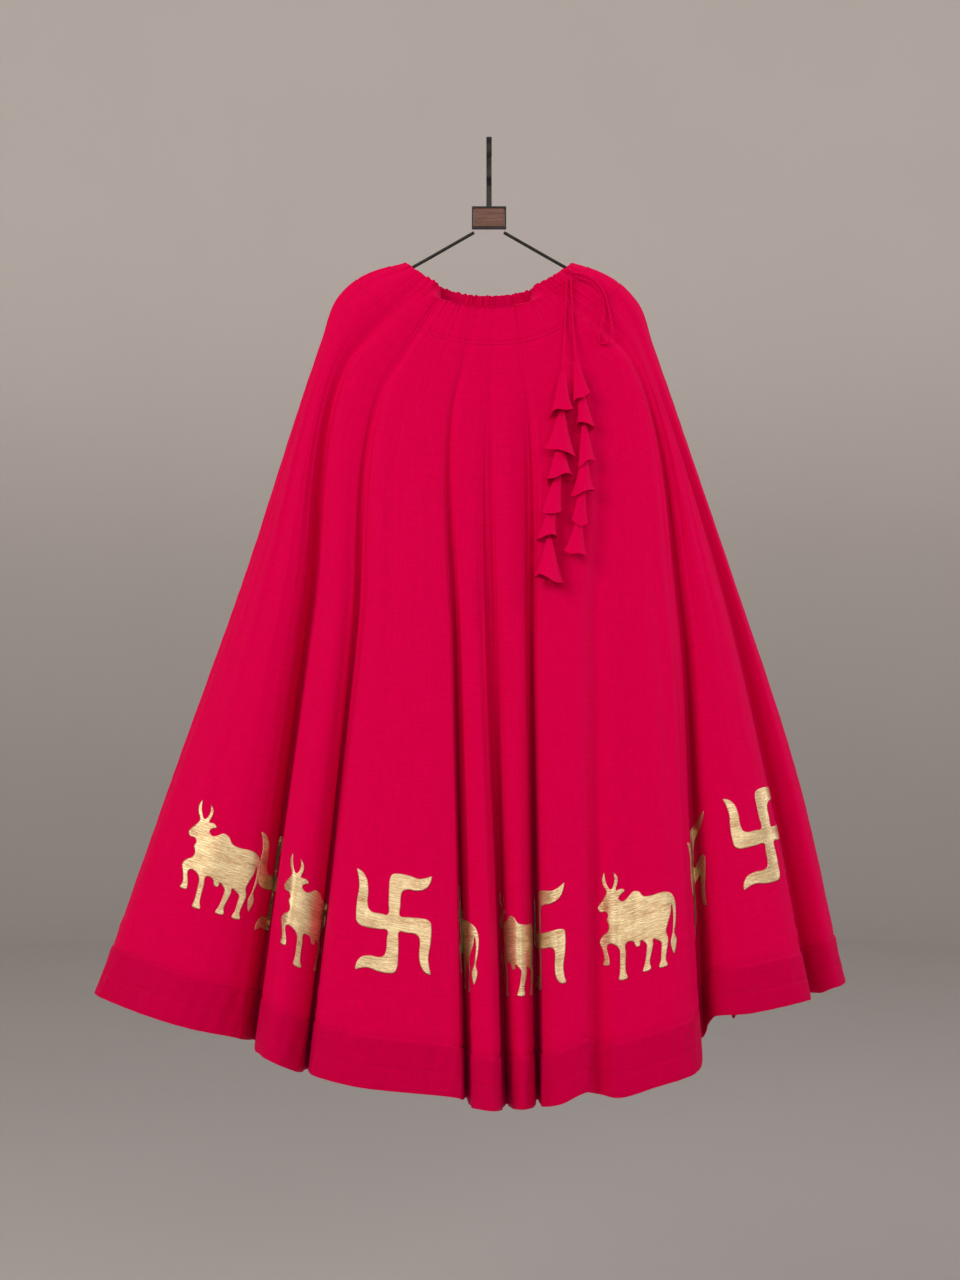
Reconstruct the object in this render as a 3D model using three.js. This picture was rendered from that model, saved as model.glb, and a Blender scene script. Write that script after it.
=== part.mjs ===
// A lehenga skirt on its hanger. Millimetres, +Z up, the front faces -Y.
// The origin is where the hanger rests on a rail: the highest point under its hook.
//
// The cloth is one continuous surface, drape(across, down). "across" runs once round the skirt, in
// millimetres of hem, from the left side over the front to the right side and back behind. "down"
// is the length of cloth from the waist edge. Every cut piece is a thin wall on its own stretch of
// that surface, half a millimetre clear of the piece that it is sewn to.
import * as THREE from "three";

// ---- driving sizes ----
const CLOTH_LENGTH = 1040; // waist edge to hem, along the cloth
const CASING_END = 19; // drawstring casing: from the waist edge down to its stitching
const YOKE_END = 66; // yoke: from the casing down to the top of the panels
const BAND_TOP = 975; // hem band: 65 mm deep
const CLOTH_WALL = 1.5;
const CASING_WALL = 2.4; // two layers of cloth with the drawstring between them
const SEAM_GAP = 0.5;
const PANELS_PER_SIDE = 6; // kalis in the front, and as many behind
const PANELS_PER_BAND = 2; // one strip of hem band runs under this many kalis

const WAIST_HALF_WIDTH = 109;
const WAIST_HALF_DEPTH = 15;
const WAIST_SQUARENESS = 5; // how blunt the ends of the waist ring are
const WAIST_MIDDLE_Z = -203; // the waist edge sags from its ends to here
const WAIST_END_Z = -162;
const WAIST_SAG_POWER = 2.3;
const GATHER_PITCH = 110; // in millimetres of hem, because the cloth is gathered into the waist
const GATHER_DEPTH = 2.2;
const GATHER_FADES_BY = 120; // gathers are gone this far down the cloth

const CLOTH = { color: 0xd2064a, roughness: 0.62, metalness: 0 };
const BLACK_METAL = { color: 0x26221f, roughness: 0.38, metalness: 0.9 };
const WOOD = { color: 0x7a4c3c, roughness: 0.5, metalness: 0 };

// ---- the flutes that the skirt hangs in ----
// Three levels down the cloth. At each one a flute has its left and right edge (x) and how far it
// stands forward (y, so behind the skirt it is positive). lean says where across the flute its crest
// is, drop how much lower than its length alone its hem hangs, and gully the depth (y) of the fold
// between it and the next one, at the three levels.
const LEVELS = { hip: 165, knee: 480, hem: CLOTH_LENGTH };
const SIDES = {
  left: { hip: [-220, 0], knee: [-316, -8], hem: [-510, -24], drop: 24 },
  right: { hip: [216, 0], knee: [318, 0], hem: [465, -4], drop: -8 },
};
const FRONT_FLUTES = [
  // name           hip: left right front   knee: left right front    hem: left right front  lean drop  gully
  ["far_left", [-218, -198, -19], [-316, -243, -50], [-510, -318, -98], 0.7, 2, [-14, -22, -34]],
  ["left_narrow", [-180, -150, -28], [-219, -180, -68], [-291, -238, -142], 0.5, 2, [-25, -50, -76]],
  ["left_wide", [-130, -57, -34], [-159, -50, -84], [-222, -36, -172], 0.34, -5, [-27, -52, -88]],
  ["middle_left", [-39, -9, -32], [-36, -6, -70], [-20, 14, -166], 0.7, 5, [-29, -50, -80]],
  ["middle_right", [14, 44, -32], [17, 47, -72], [28, 54, -150], 0.5, 4, [-29, -48, -70]],
  ["right_inner", [62, 118, -33], [62, 116, -78], [68, 122, -156], 0.42, 6, [-29, -62, -132]],
  ["right_outer", [144, 183, -27], [158, 234, -68], [158, 262, -150], 0.45, 28, [-17, -30, -40]],
  ["far_right", [197, 202, -15], [258, 296, -46], [288, 406, -98], 0.35, -27, [-11, -11, -14]],
  ["right_tip", [207, 214, -9], [312, 317, -14], [428, 464, -34], 0.5, -18, null],
];
const BACK_FLUTES = [
  // from the right side to the left, so left and right are as seen from behind
  ["back_right_tip", [216, 178, 18], [317, 236, 46], [465, 332, 84], 0.6, -14, [13, 24, 34]],
  ["back_right", [160, 118, 27], [216, 150, 64], [318, 190, 128], 0.5, -22, [24, 46, 66]],
  ["back_right_inner", [98, 48, 31], [126, 62, 72], [176, 71, 142], 0.5, 0, [27, 50, 70]],
  ["back_middle", [28, -30, 31], [40, -34, 74], [47, -72, 146], 0.5, 6, [27, 50, 70]],
  ["back_left_inner", [-50, -100, 31], [-58, -122, 70], [-88, -192, 138], 0.5, 0, [24, 46, 66]],
  ["back_left", [-120, -162, 26], [-146, -212, 62], [-206, -322, 126], 0.5, 3, [13, 22, 34]],
  ["back_left_tip", [-182, -220, 17], [-234, -316, 44], [-346, -510, 82], 0.4, 6, null],
];
const CALF = 760; // a level halfway from knee to hem, where the right side swells a little
const CALF_SWELL = 12;
const EDGE_SET_BACK = 0.24; // a flute's edges lie this share of the way back to its gully

// ---- small helpers ----
const mix = (a, b, share) => a + (b - a) * share;

// A smooth curve through [position, value] knots; firstSlope is given and the last one is free.
function hermite(knots, at, firstSlope) {
  let k = 0;
  while (k < knots.length - 2 && at > knots[k + 1][0]) k += 1;
  const slope = (i) => {
    if (i === 0) return firstSlope;
    const last = knots.length - 1;
    const before = (knots[i][1] - knots[i - 1][1]) / (knots[i][0] - knots[i - 1][0]);
    if (i === last) return before;
    const after = (knots[i + 1][1] - knots[i][1]) / (knots[i + 1][0] - knots[i][0]);
    return (before + after) / 2;
  };
  const span = knots[k + 1][0] - knots[k][0];
  const p = (at - knots[k][0]) / span;
  const p2 = p * p;
  const p3 = p2 * p;
  return (
    (2 * p3 - 3 * p2 + 1) * knots[k][1] +
    (p3 - 2 * p2 + p) * span * slope(k) +
    (3 * p2 - 2 * p3) * knots[k + 1][1] +
    (p3 - p2) * span * slope(k + 1)
  );
}

// ---- fold lines: the edges, crests and gullies of the flutes, in order round the skirt ----
// Each is { hip: [x, y], knee: [x, y], hem: [x, y], drop }.
function foldLines(flutes) {
  const levels = Object.keys(LEVELS);
  const lines = [];
  const line = (flute, place, drop) => {
    const points = levels.map((name, k) => [name, place(flute[k + 1], k)]);
    lines.push({ ...Object.fromEntries(points), drop });
  };
  flutes.forEach((flute, i) => {
    const [, , , , lean, drop, gully] = flute;
    const before = i > 0 ? flutes[i - 1][6] : null;
    if (before) line(flute, ([left, , front], k) => [left, mix(front, before[k], EDGE_SET_BACK)], drop);
    line(flute, ([left, right, front]) => [mix(left, right, lean), front], drop);
    if (gully) {
      const next = flutes[i + 1];
      line(flute, ([, right, front], k) => [right, mix(front, gully[k], EDGE_SET_BACK)], drop);
      line(flute, ([, right], k) => [mix(right, next[k + 1][0], 0.5), gully[k]], mix(drop, next[5], 0.5));
    }
  });
  return lines;
}
const frontLines = foldLines(FRONT_FLUTES);
const backLines = foldLines(BACK_FLUTES);
const lines = [SIDES.left, ...frontLines, SIDES.right, ...backLines];
const rightSideIndex = 1 + frontLines.length;

// How far round the hem each fold line lies.
const around = [0];
lines.forEach((line, i) => {
  const next = lines[(i + 1) % lines.length];
  around.push(around[i] + Math.hypot(next.hem[0] - line.hem[0], next.hem[1] - line.hem[1]));
});
const HEM_ROUND = around[lines.length];
const FRONT_ROUND = around[rightSideIndex];
const BACK_ROUND = HEM_ROUND - FRONT_ROUND;

// ---- where each fold line starts, at the waist edge ----
// share runs from -1 at the left side to 1 at the right side.
function waistStart(share, side) {
  const x = WAIST_HALF_WIDTH * share;
  const blunt = Math.sqrt(Math.max(0, 1 - Math.abs(share) ** WAIST_SQUARENESS));
  const sag = Math.abs(share) ** WAIST_SAG_POWER;
  return { x, y: side * WAIST_HALF_DEPTH * blunt, z: mix(WAIST_MIDDLE_Z, WAIST_END_Z, sag) };
}

// A fold line from waist to hem, as points STEP apart down the cloth. x and y follow the levels, and
// z falls by what is left of each step, so that the cloth keeps its length.
const STEP = 5;
const ARM_TIP = 100; // this far down the cloth it turns over the tips of the hanger's arms
const OUT_BY_ARM_TIP = { middle: 0.61, side: 0.79 }; // share of the way out to the hip
const LEVEL_AT_SIDE = 0.96; // at the sides the cloth leaves the waist almost level
const MOST_LEVEL = 0.985; // of each step, so that the cloth always falls a little
// How closely each of these keeps to the sides: a higher power leaves more of the middle alone.
const SIDE_POWERS = { armTip: 4, swell: 6, level: 7 };
function hang(line, i) {
  const front = i <= rightSideIndex;
  const share = front
    ? (2 * around[i]) / FRONT_ROUND - 1
    : 1 - (2 * (around[i] - FRONT_ROUND)) / BACK_ROUND;
  const isSide = i === 0 || i === rightSideIndex;
  const start = waistStart(share, isSide ? 0 : front ? -1 : 1);
  const byArmTip = mix(OUT_BY_ARM_TIP.middle, OUT_BY_ARM_TIP.side, share ** SIDE_POWERS.armTip);
  const swell = CALF_SWELL * Math.max(0, share) ** SIDE_POWERS.swell;
  const knots = (axis, first) => [
    [0, first],
    [ARM_TIP, mix(first, line.hip[axis], byArmTip)],
    [LEVELS.hip, line.hip[axis]],
    [LEVELS.knee, line.knee[axis]],
    [CALF, mix(line.knee[axis], line.hem[axis], 0.5) + (axis === 0 ? swell : 0)],
    [LEVELS.hem, line.hem[axis]],
  ];
  const xs = knots(0, start.x);
  const ys = knots(1, start.y);
  const easy = (line.hip[0] - start.x) / LEVELS.hip;
  const firstX = mix(easy, Math.sign(share) * LEVEL_AT_SIDE, Math.abs(share) ** SIDE_POWERS.level);
  const firstY = (line.hip[1] - start.y) / LEVELS.hip;
  const points = [];
  let z = start.z;
  for (let down = 0; down <= CLOTH_LENGTH + STEP; down += STEP) {
    const x = hermite(xs, down, firstX);
    const y = hermite(ys, down, firstY);
    if (points.length) {
      const before = points[points.length - 1];
      const level = Math.min(MOST_LEVEL * STEP, Math.hypot(x - before.x, y - before.y));
      z -= Math.sqrt(STEP * STEP - level * level);
    }
    points.push(new THREE.Vector3(x, y, z));
  }
  points.forEach((point, k) => {
    point.z -= line.drop * ((k * STEP) / CLOTH_LENGTH) ** 2;
  });
  return points;
}
const hanging = lines.map(hang);

function onLine(i, down) {
  const points = hanging[(i + lines.length) % lines.length];
  const k = Math.min(points.length - 2, Math.max(0, Math.floor(down / STEP)));
  return points[k].clone().lerp(points[k + 1], down / STEP - k);
}

// The cloth without its gathers. Across it the curve through the fold lines never runs past them, so
// two flutes can't meet in the fold between them.
function steadySlope(before, after, gapBefore, gapAfter) {
  if (before * after <= 0) return 0;
  const w1 = 2 * gapAfter + gapBefore;
  const w2 = gapAfter + 2 * gapBefore;
  return (w1 + w2) / (w1 / before + w2 / after);
}
function smoothDrape(across, down) {
  const at = ((across % HEM_ROUND) + HEM_ROUND) % HEM_ROUND;
  const n = lines.length;
  let i = 0;
  while (i < n - 1 && at >= around[i + 1]) i += 1;
  const gap = (k) => around[((k + n) % n) + 1] - around[(k + n) % n];
  const [h0, h, h1] = [gap(i - 1), gap(i), gap(i + 1)];
  const [a, b, c, d] = [i - 1, i, i + 1, i + 2].map((k) => onLine(k, down));
  const p = (at - around[i]) / h;
  const p2 = p * p;
  const p3 = p2 * p;
  const between = (axis) => {
    const rise = (c[axis] - b[axis]) / h;
    const from = steadySlope((b[axis] - a[axis]) / h0, rise, h0, h);
    const to = steadySlope(rise, (d[axis] - c[axis]) / h1, h, h1);
    return (
      (2 * p3 - 3 * p2 + 1) * b[axis] +
      (p3 - 2 * p2 + p) * h * from +
      (3 * p2 - 2 * p3) * c[axis] +
      (p3 - p2) * h * to
    );
  };
  return new THREE.Vector3(between("x"), between("y"), between("z"));
}

const BESIDE = 1; // how far off the cloth is looked at to find its directions
function frameAt(across, down) {
  const place = smoothDrape(across, down);
  const along = smoothDrape(across + BESIDE, down)
    .sub(smoothDrape(across - BESIDE, down))
    .normalize();
  const fall = smoothDrape(across, Math.min(down, CLOTH_LENGTH) + BESIDE)
    .sub(smoothDrape(across, Math.max(down - BESIDE, 0)))
    .normalize();
  const out = new THREE.Vector3().crossVectors(fall, along).normalize();
  return { place, along, out };
}

// The outer face of the cloth, its outward direction, and its direction round the skirt.
function drape(across, down) {
  const frame = frameAt(across, down);
  const fade = Math.max(0, 1 - down / GATHER_FADES_BY);
  const ripple = Math.sin((2 * Math.PI * across) / GATHER_PITCH) * GATHER_DEPTH * fade;
  frame.place.addScaledVector(frame.out, ripple);
  return frame;
}

// ---- a cut piece of cloth: a closed wall between two places across and two down ----
function clothWall(columns, rows, thickness) {
  const w = columns.length;
  const outer = [];
  const inner = [];
  rows.forEach((down, r) => {
    const inset = r === 0 ? SEAM_GAP / 2 : r === rows.length - 1 && down < CLOTH_LENGTH ? -SEAM_GAP / 2 : 0;
    columns.forEach((across, c) => {
      const { place, along, out } = drape(across, down + inset);
      const aside = c === 0 ? SEAM_GAP / 2 : c === w - 1 ? -SEAM_GAP / 2 : 0;
      place.addScaledVector(along, aside);
      outer.push(place);
      inner.push(place.clone().addScaledVector(out, -thickness));
    });
  });
  const points = [...outer, ...inner];
  const back = outer.length;
  const faces = [];
  const quad = (a, b, c, d) => faces.push(a, b, c, a, c, d);
  for (let r = 0; r < rows.length - 1; r += 1) {
    for (let c = 0; c < w - 1; c += 1) {
      const a = r * w + c;
      quad(a, a + w, a + w + 1, a + 1);
      quad(back + a, back + a + 1, back + a + w + 1, back + a + w);
    }
    const first = r * w;
    const last = first + w - 1;
    quad(first, back + first, back + first + w, first + w);
    quad(last, last + w, back + last + w, back + last);
  }
  for (let c = 0; c < w - 1; c += 1) {
    const bottom = (rows.length - 1) * w + c;
    quad(c, c + 1, back + c + 1, back + c);
    quad(bottom, back + bottom, back + bottom + 1, bottom + 1);
  }
  const geometry = new THREE.BufferGeometry();
  geometry.setAttribute("position", new THREE.Float32BufferAttribute(points.flatMap((p) => p.toArray()), 3));
  geometry.setIndex(faces);
  return geometry;
}

// Where the walls have their vertices across one half of the skirt: at every fold line, at every
// seam between two kalis, and at enough places in between.
const CLOSEST_COLUMNS = 7;
function columnsOfHalf(from, round, widest) {
  const seams = Array.from({ length: PANELS_PER_SIDE + 1 }, (_, k) => from + (k * round) / PANELS_PER_SIDE);
  const clear = around.filter((at) => seams.every((seam) => Math.abs(at - seam) > CLOSEST_COLUMNS));
  const folds = clear.filter((at) => at > from && at < from + round);
  const stops = [...seams, ...folds].sort((a, b) => a - b);
  return stops.slice(1).flatMap((stop, i) => {
    const parts = Math.max(1, Math.ceil((stop - stops[i]) / widest));
    return Array.from({ length: parts }, (_, k) => mix(stops[i], stop, k / parts));
  }).concat(from + round);
}

const skirt = new THREE.Group();
function add(name, geometry, finish) {
  const mesh = new THREE.Mesh(geometry, new THREE.MeshStandardMaterial(finish));
  mesh.name = name;
  skirt.add(mesh);
}

// ---- the sewn pieces ----
const HALVES = [
  { name: "front", from: 0, round: FRONT_ROUND, widest: 36 },
  { name: "back", from: FRONT_ROUND, round: BACK_ROUND, widest: 48 },
];
const CASING_ROWS = [0, CASING_END];
const YOKE_ROWS = [CASING_END, 42, YOKE_END];
const KALI_ROWS = [YOKE_END, 102, 150, 225, 340, 480, 625, 770, 880, BAND_TOP];
const BAND_ROWS = [BAND_TOP, 1008, CLOTH_LENGTH];
const ROUNDING = 1e-6; // two places nearer than this are the same place

for (const { name, from, round, widest } of HALVES) {
  const columns = columnsOfHalf(from, round, widest);
  const panel = round / PANELS_PER_SIDE;
  const columnsOf = (first, count) =>
    columns.filter((at) => at > from + first * panel - ROUNDING && at < from + (first + count) * panel + ROUNDING);
  add(`waist_casing_${name}`, clothWall(columns, CASING_ROWS, CASING_WALL), CLOTH);
  add(`yoke_${name}`, clothWall(columns, YOKE_ROWS, CLOTH_WALL), CLOTH);
  for (let k = 0; k < PANELS_PER_SIDE; k += 1) {
    add(`kali_${name}_${k + 1}`, clothWall(columnsOf(k, 1), KALI_ROWS, CLOTH_WALL), CLOTH);
  }
  for (let k = 0; k < PANELS_PER_SIDE; k += PANELS_PER_BAND) {
    const strip = clothWall(columnsOf(k, PANELS_PER_BAND), BAND_ROWS, CLOTH_WALL);
    add(`hem_band_${name}_${k / PANELS_PER_BAND + 1}`, strip, CLOTH);
  }
}

// ---- hanger: a strip hook, a framed block and two wire arms ----
const STRIP_WIDTH = 7;
const STRIP_THICKNESS = 2.6;
const RAIL_RADIUS = 13; // what the hook goes over
const BLOCK = { width: 45, height: 28.8, depth: 10, frame: 2.4, top: -89 };
const ARM_RADIUS = 2.1;
const ARM = [[19.6, -122.6], [107, -172], [170, -204.5]]; // x and z from the block to the tip
const FIT_GAP = 0.3;
const INLAY_SET_BACK = 0.6; // behind the face of the frame, at both faces
const STEM_TOP = -64; // the strip is straight up to here, then bends out beside the rail
const BEND_TOP = -44;
const HOOK_TIP = { out: 4, z: -27 }; // its free end turns outwards
const CURVE_STEPS = 16;

// The strip's outline is drawn with y to the right and z up, then pushed through along X.
function hookGeometry() {
  const middle = new THREE.Path();
  const lane = RAIL_RADIUS + STRIP_THICKNESS / 2;
  middle.moveTo(0, BLOCK.top + FIT_GAP);
  middle.lineTo(0, STEM_TOP);
  middle.bezierCurveTo(0, STEM_TOP + 10, lane, BEND_TOP - 12, lane, BEND_TOP);
  middle.lineTo(lane, -RAIL_RADIUS);
  middle.absarc(0, -RAIL_RADIUS, lane, 0, Math.PI, false);
  middle.bezierCurveTo(-lane, HOOK_TIP.z + 7, -lane - 1, HOOK_TIP.z + 3, -lane - HOOK_TIP.out, HOOK_TIP.z);
  const all = middle.getPoints(CURVE_STEPS);
  const centre = all.filter((p, i) => i === 0 || p.distanceTo(all[i - 1]) > 0.01);
  const side = (sign) =>
    centre.map((p, i) => {
      const ahead = centre[Math.min(i + 1, centre.length - 1)];
      const behind = centre[Math.max(i - 1, 0)];
      const along = ahead.clone().sub(behind).normalize();
      const off = (sign * STRIP_THICKNESS) / 2;
      return new THREE.Vector2(p.x - along.y * off, p.y + along.x * off);
    });
  const strip = new THREE.Shape([...side(-1), ...side(1).reverse()]);
  const geometry = new THREE.ExtrudeGeometry(strip, { depth: STRIP_WIDTH, bevelEnabled: false });
  const turned = new THREE.Matrix4().makeBasis(
    new THREE.Vector3(0, 1, 0),
    new THREE.Vector3(0, 0, 1),
    new THREE.Vector3(1, 0, 0),
  );
  return geometry.applyMatrix4(turned).translate(-STRIP_WIDTH / 2, 0, 0);
}
add("hanger_hook", hookGeometry(), BLACK_METAL);

const blockMiddle = BLOCK.top - BLOCK.height / 2;
function plate(width, height, hole) {
  const outline = (w, h) => [[-w, -h], [w, -h], [w, h], [-w, h]].map(([x, y]) => new THREE.Vector2(x / 2, y / 2));
  const shape = new THREE.Shape(outline(width, height));
  if (hole) shape.holes.push(new THREE.Path(outline(width - 2 * hole, height - 2 * hole)));
  return shape;
}
const upright = new THREE.Matrix4().makeRotationX(Math.PI / 2);
const blockFrame = new THREE.ExtrudeGeometry(plate(BLOCK.width, BLOCK.height, BLOCK.frame), {
  depth: BLOCK.depth,
  bevelEnabled: false,
});
blockFrame.applyMatrix4(upright).translate(0, BLOCK.depth / 2, blockMiddle);
add("hanger_block_frame", blockFrame, BLACK_METAL);
const inlaySide = 2 * (BLOCK.frame + FIT_GAP);
const inlay = new THREE.BoxGeometry(BLOCK.width - inlaySide, BLOCK.depth - 2 * INLAY_SET_BACK, BLOCK.height - inlaySide);
add("hanger_block_inlay", inlay.translate(0, 0, blockMiddle), WOOD);

function round(radius, sides) {
  const shape = new THREE.Shape();
  shape.absarc(0, 0, radius, 0, 2 * Math.PI, false);
  return (curve, steps) =>
    new THREE.ExtrudeGeometry(shape, { extrudePath: curve, steps, curveSegments: sides });
}
const WIRE_STEPS = 8;
const WIRE_SIDES = 12;
for (const [name, side] of [["left", -1], ["right", 1]]) {
  const wire = new THREE.CatmullRomCurve3(ARM.map(([x, z]) => new THREE.Vector3(side * x, 0, z)));
  add(`hanger_arm_${name}`, round(ARM_RADIUS, WIRE_SIDES)(wire, WIRE_STEPS), BLACK_METAL);
}

// ---- drawstring: a knot at the right end of the casing, two hanging ends and one bow loop ----
const CORD_RADIUS = 1.25;
const CORD_SIDES = 8;
const BELL_WALL = 1;
const BELL_SIDES = 14;
const BELL_FLATNESS = 0.62; // front to back over side to side
const BELL_FLARE = [[0, 0], [0.3, 0.3], [0.66, 0.68], [1, 1]]; // share down, and share of the way out
const BELL_TILT_REACH = 0.04; // a bell hangs towards the point this share of the cord below its top
const CLOTH_CLEARANCE = 0.6;
const KNOT = { x: 103, z: -176, width: 9, height: 8, depth: 6 };

// Places on the front of the skirt behind the tassels, and how far forward the cloth comes within
// reach of (x, z).
const BEHIND_TASSELS = { from: 0.3 * FRONT_ROUND, every: 6, toDown: 500, everyDown: 8 };
const frontCloth = [];
for (let across = BEHIND_TASSELS.from; across < FRONT_ROUND; across += BEHIND_TASSELS.every) {
  for (let down = 0; down < BEHIND_TASSELS.toDown; down += BEHIND_TASSELS.everyDown) {
    frontCloth.push(drape(across, down).place);
  }
}
function clothFront(x, z, reachX, reachZ) {
  const widerX = reachX + BEHIND_TASSELS.every + 1;
  const widerZ = reachZ + BEHIND_TASSELS.everyDown + 1;
  const near = frontCloth.filter((p) => Math.abs(p.x - x) < widerX && Math.abs(p.z - z) < widerZ);
  return Math.min(...near.map((p) => p.y));
}

const knotY = clothFront(KNOT.x, KNOT.z, KNOT.width / 2, KNOT.height / 2) - CLOTH_CLEARANCE - KNOT.depth / 2;
const KNOT_SIDES = 12;
const KNOT_ROWS = 8;
const knot = new THREE.SphereGeometry(0.5, KNOT_SIDES, KNOT_ROWS).scale(KNOT.width, KNOT.depth, KNOT.height);
add("drawstring_knot", knot.translate(KNOT.x, knotY, KNOT.z), CLOTH);

const cordGeometry = round(CORD_RADIUS, CORD_SIDES);
const CORD_REACH = 3; // the cord lies clear of all cloth this near it to either side
const CORD_STEPS = { end: 26, loop: 28 };

// Each tassel is a chain of cloth bells on the cord. A row is where a bell's top is along the cord,
// from 0 to 1, then its length and the radius of its mouth.
const TASSELS = {
  left: {
    cord: [[101, -185], [98, -250], [95, -305], [92, -380], [89, -440], [78, -500], [76, -560], [77, -585]],
    bells: [[0.32, 58, 14], [0.44, 58, 16], [0.54, 54, 15], [0.645, 52, 14], [0.745, 50, 13], [0.855, 58, 17]],
  },
  right: {
    cord: [[106, -185], [109, -250], [112, -295], [120, -350], [123, -410], [118, -475], [111, -530], [107, -548]],
    bells: [[0.31, 52, 11], [0.42, 50, 11], [0.54, 52, 12], [0.65, 50, 12], [0.76, 48, 11], [0.87, 46, 11]],
  },
};

const FIRST_IN_BELLS = 2; // the third place of each cord is where its bells begin
const BELL_REACH = 20; // up and down

function bellGeometry(length, radius) {
  const bore = (CORD_RADIUS + 2 * FIT_GAP) / BELL_FLATNESS;
  const neck = bore + BELL_WALL;
  const outer = BELL_FLARE.map(([down, out]) => [mix(neck, radius, out), -length * down]);
  const inner = outer.map(([r, h]) => [r - BELL_WALL, h]).reverse();
  const profile = [...outer, ...inner, outer[0]].map(([r, h]) => new THREE.Vector2(r, h));
  return new THREE.LatheGeometry(profile.reverse(), BELL_SIDES).rotateX(Math.PI / 2);
}

for (const [name, { cord, bells }] of Object.entries(TASSELS)) {
  const widest = Math.max(...bells.map(([, , radius]) => radius));
  const places = cord.map(([x, z]) => {
    const inBells = z <= cord[FIRST_IN_BELLS][1];
    const reach = inBells ? widest : CORD_REACH;
    const lift = inBells ? widest * BELL_FLATNESS : CORD_RADIUS;
    return new THREE.Vector3(x, clothFront(x, z, reach, BELL_REACH) - CLOTH_CLEARANCE - lift, z);
  });
  places[0].y = knotY;
  const curve = new THREE.CatmullRomCurve3(places);
  add(`drawstring_end_${name}`, cordGeometry(curve, CORD_STEPS.end), CLOTH);
  bells.forEach(([at, length, radius], i) => {
    const top = curve.getPointAt(at);
    const below = curve.getPointAt(Math.min(1, at + BELL_TILT_REACH));
    const bell = bellGeometry(length, radius).scale(1, BELL_FLATNESS, 1);
    const tilt = new THREE.Quaternion().setFromUnitVectors(
      new THREE.Vector3(0, 0, -1),
      below.sub(top).normalize(),
    );
    add(`tassel_${name}_bell_${i + 1}`, bell.applyQuaternion(tilt).translate(top.x, top.y, top.z), CLOTH);
  });
}

const LOOP = [
  [108.7, -178.2], [120.5, -179.5], [133.6, -185.4], [146.7, -199.1], [153.9, -218.8], [158.5, -256.8], [153.3, -271.2],
  [144.1, -271.2], [141.5, -259.4], [145.4, -242.4], [150.2, -225.3], [144.1, -203.1], [131, -190], [117, -185], [111, -182.5],
];
const LOOP_REACH = 6; // up and down
const LOOP_LIFT = CLOTH_CLEARANCE + CORD_RADIUS + 0.5;
const loopPlaces = LOOP.map(
  ([x, z]) => new THREE.Vector3(x, clothFront(x, z, CORD_REACH, LOOP_REACH) - LOOP_LIFT, z),
);
const loopCurve = new THREE.CatmullRomCurve3(loopPlaces);
add("drawstring_loop", cordGeometry(loopCurve, CORD_STEPS.loop), CLOTH);

export default skirt;
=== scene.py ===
import math

import bpy
import numpy as np
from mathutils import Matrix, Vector
from mathutils.geometry import delaunay_2d_cdt


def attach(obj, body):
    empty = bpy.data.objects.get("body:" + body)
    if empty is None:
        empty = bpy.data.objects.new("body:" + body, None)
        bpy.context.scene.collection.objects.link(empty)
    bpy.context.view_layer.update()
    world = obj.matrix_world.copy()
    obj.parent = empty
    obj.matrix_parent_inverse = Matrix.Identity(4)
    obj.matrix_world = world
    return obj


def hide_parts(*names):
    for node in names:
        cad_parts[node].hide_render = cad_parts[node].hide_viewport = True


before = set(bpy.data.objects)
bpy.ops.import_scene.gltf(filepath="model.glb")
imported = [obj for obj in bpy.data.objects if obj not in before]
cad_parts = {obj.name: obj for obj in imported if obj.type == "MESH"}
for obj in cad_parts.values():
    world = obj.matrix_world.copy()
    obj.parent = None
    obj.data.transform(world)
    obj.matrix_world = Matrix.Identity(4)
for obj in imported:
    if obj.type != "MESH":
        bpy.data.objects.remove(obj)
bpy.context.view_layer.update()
MM = 0.001

# ---- camera ----
# A long lens, level with the middle of the skirt and a little to its left.
def in_scene(name, data):
    """A new object at the origin that holds this data."""
    made = bpy.data.objects.new(name, data)
    bpy.context.scene.collection.objects.link(made)
    return made


camera_data = bpy.data.cameras.new("camera")
camera_data.sensor_fit = "VERTICAL"
camera_data.sensor_height = 36
camera_data.sensor_width = 36
camera_data.lens = 58
camera = in_scene("camera", camera_data)
camera.location = (-0.0118, -2.70, -0.656)
camera.rotation_euler = (math.radians(90), 0, 0)
bpy.context.scene.camera = camera

# ---- drawstring ----
# A narrow rolled cord of the skirt's own silk. It leaves the waist casing at the right end, is tied
# there in one knot, and leaves two free ends and one small bow loop.
CORD_RADIUS = 1.25
TASSEL_ROUTES = {
    "left": [
        (101, -16.9, -185), (98, -24.9, -250), (95, -41.9, -305), (92, -51.5, -380),
        (89, -59.6, -440), (78, -68.0, -500), (76, -77.5, -560), (77, -81.0, -585),
    ],
    "right": [
        (106, -16.9, -185), (109, -24.8, -250), (112, -37.7, -295), (120, -44.2, -350),
        (123, -52.3, -410), (118, -61.8, -475), (111, -69.3, -530), (107, -72.3, -548),
    ],
}
LOOP_ROUTE = [
    (108.7, -15.7, -178.2), (120.5, -15.7, -179.5), (133.6, -15.8, -185.4),
    (146.7, -15.9, -199.1), (153.9, -17.3, -218.8), (158.5, -24.7, -256.8),
    (153.3, -26.3, -271.2), (144.1, -26.3, -271.2), (141.5, -25.2, -259.4),
    (145.4, -22.7, -242.4), (150.2, -17.5, -225.3), (144.1, -15.9, -203.1),
    (131.0, -15.8, -190.0), (117.0, -15.8, -185.0), (111.0, -15.8, -182.5),
]
KNOT_MIDDLE = (103, -16.9, -176)
KNOT_SIZE = (8.6, 5.6, 7.6)
END_POINTS = 90
LOOP_POINTS = 60
KNOT_POINTS = 72
SILK_RED = np.array((0.70, 0.0, 0.064))
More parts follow.
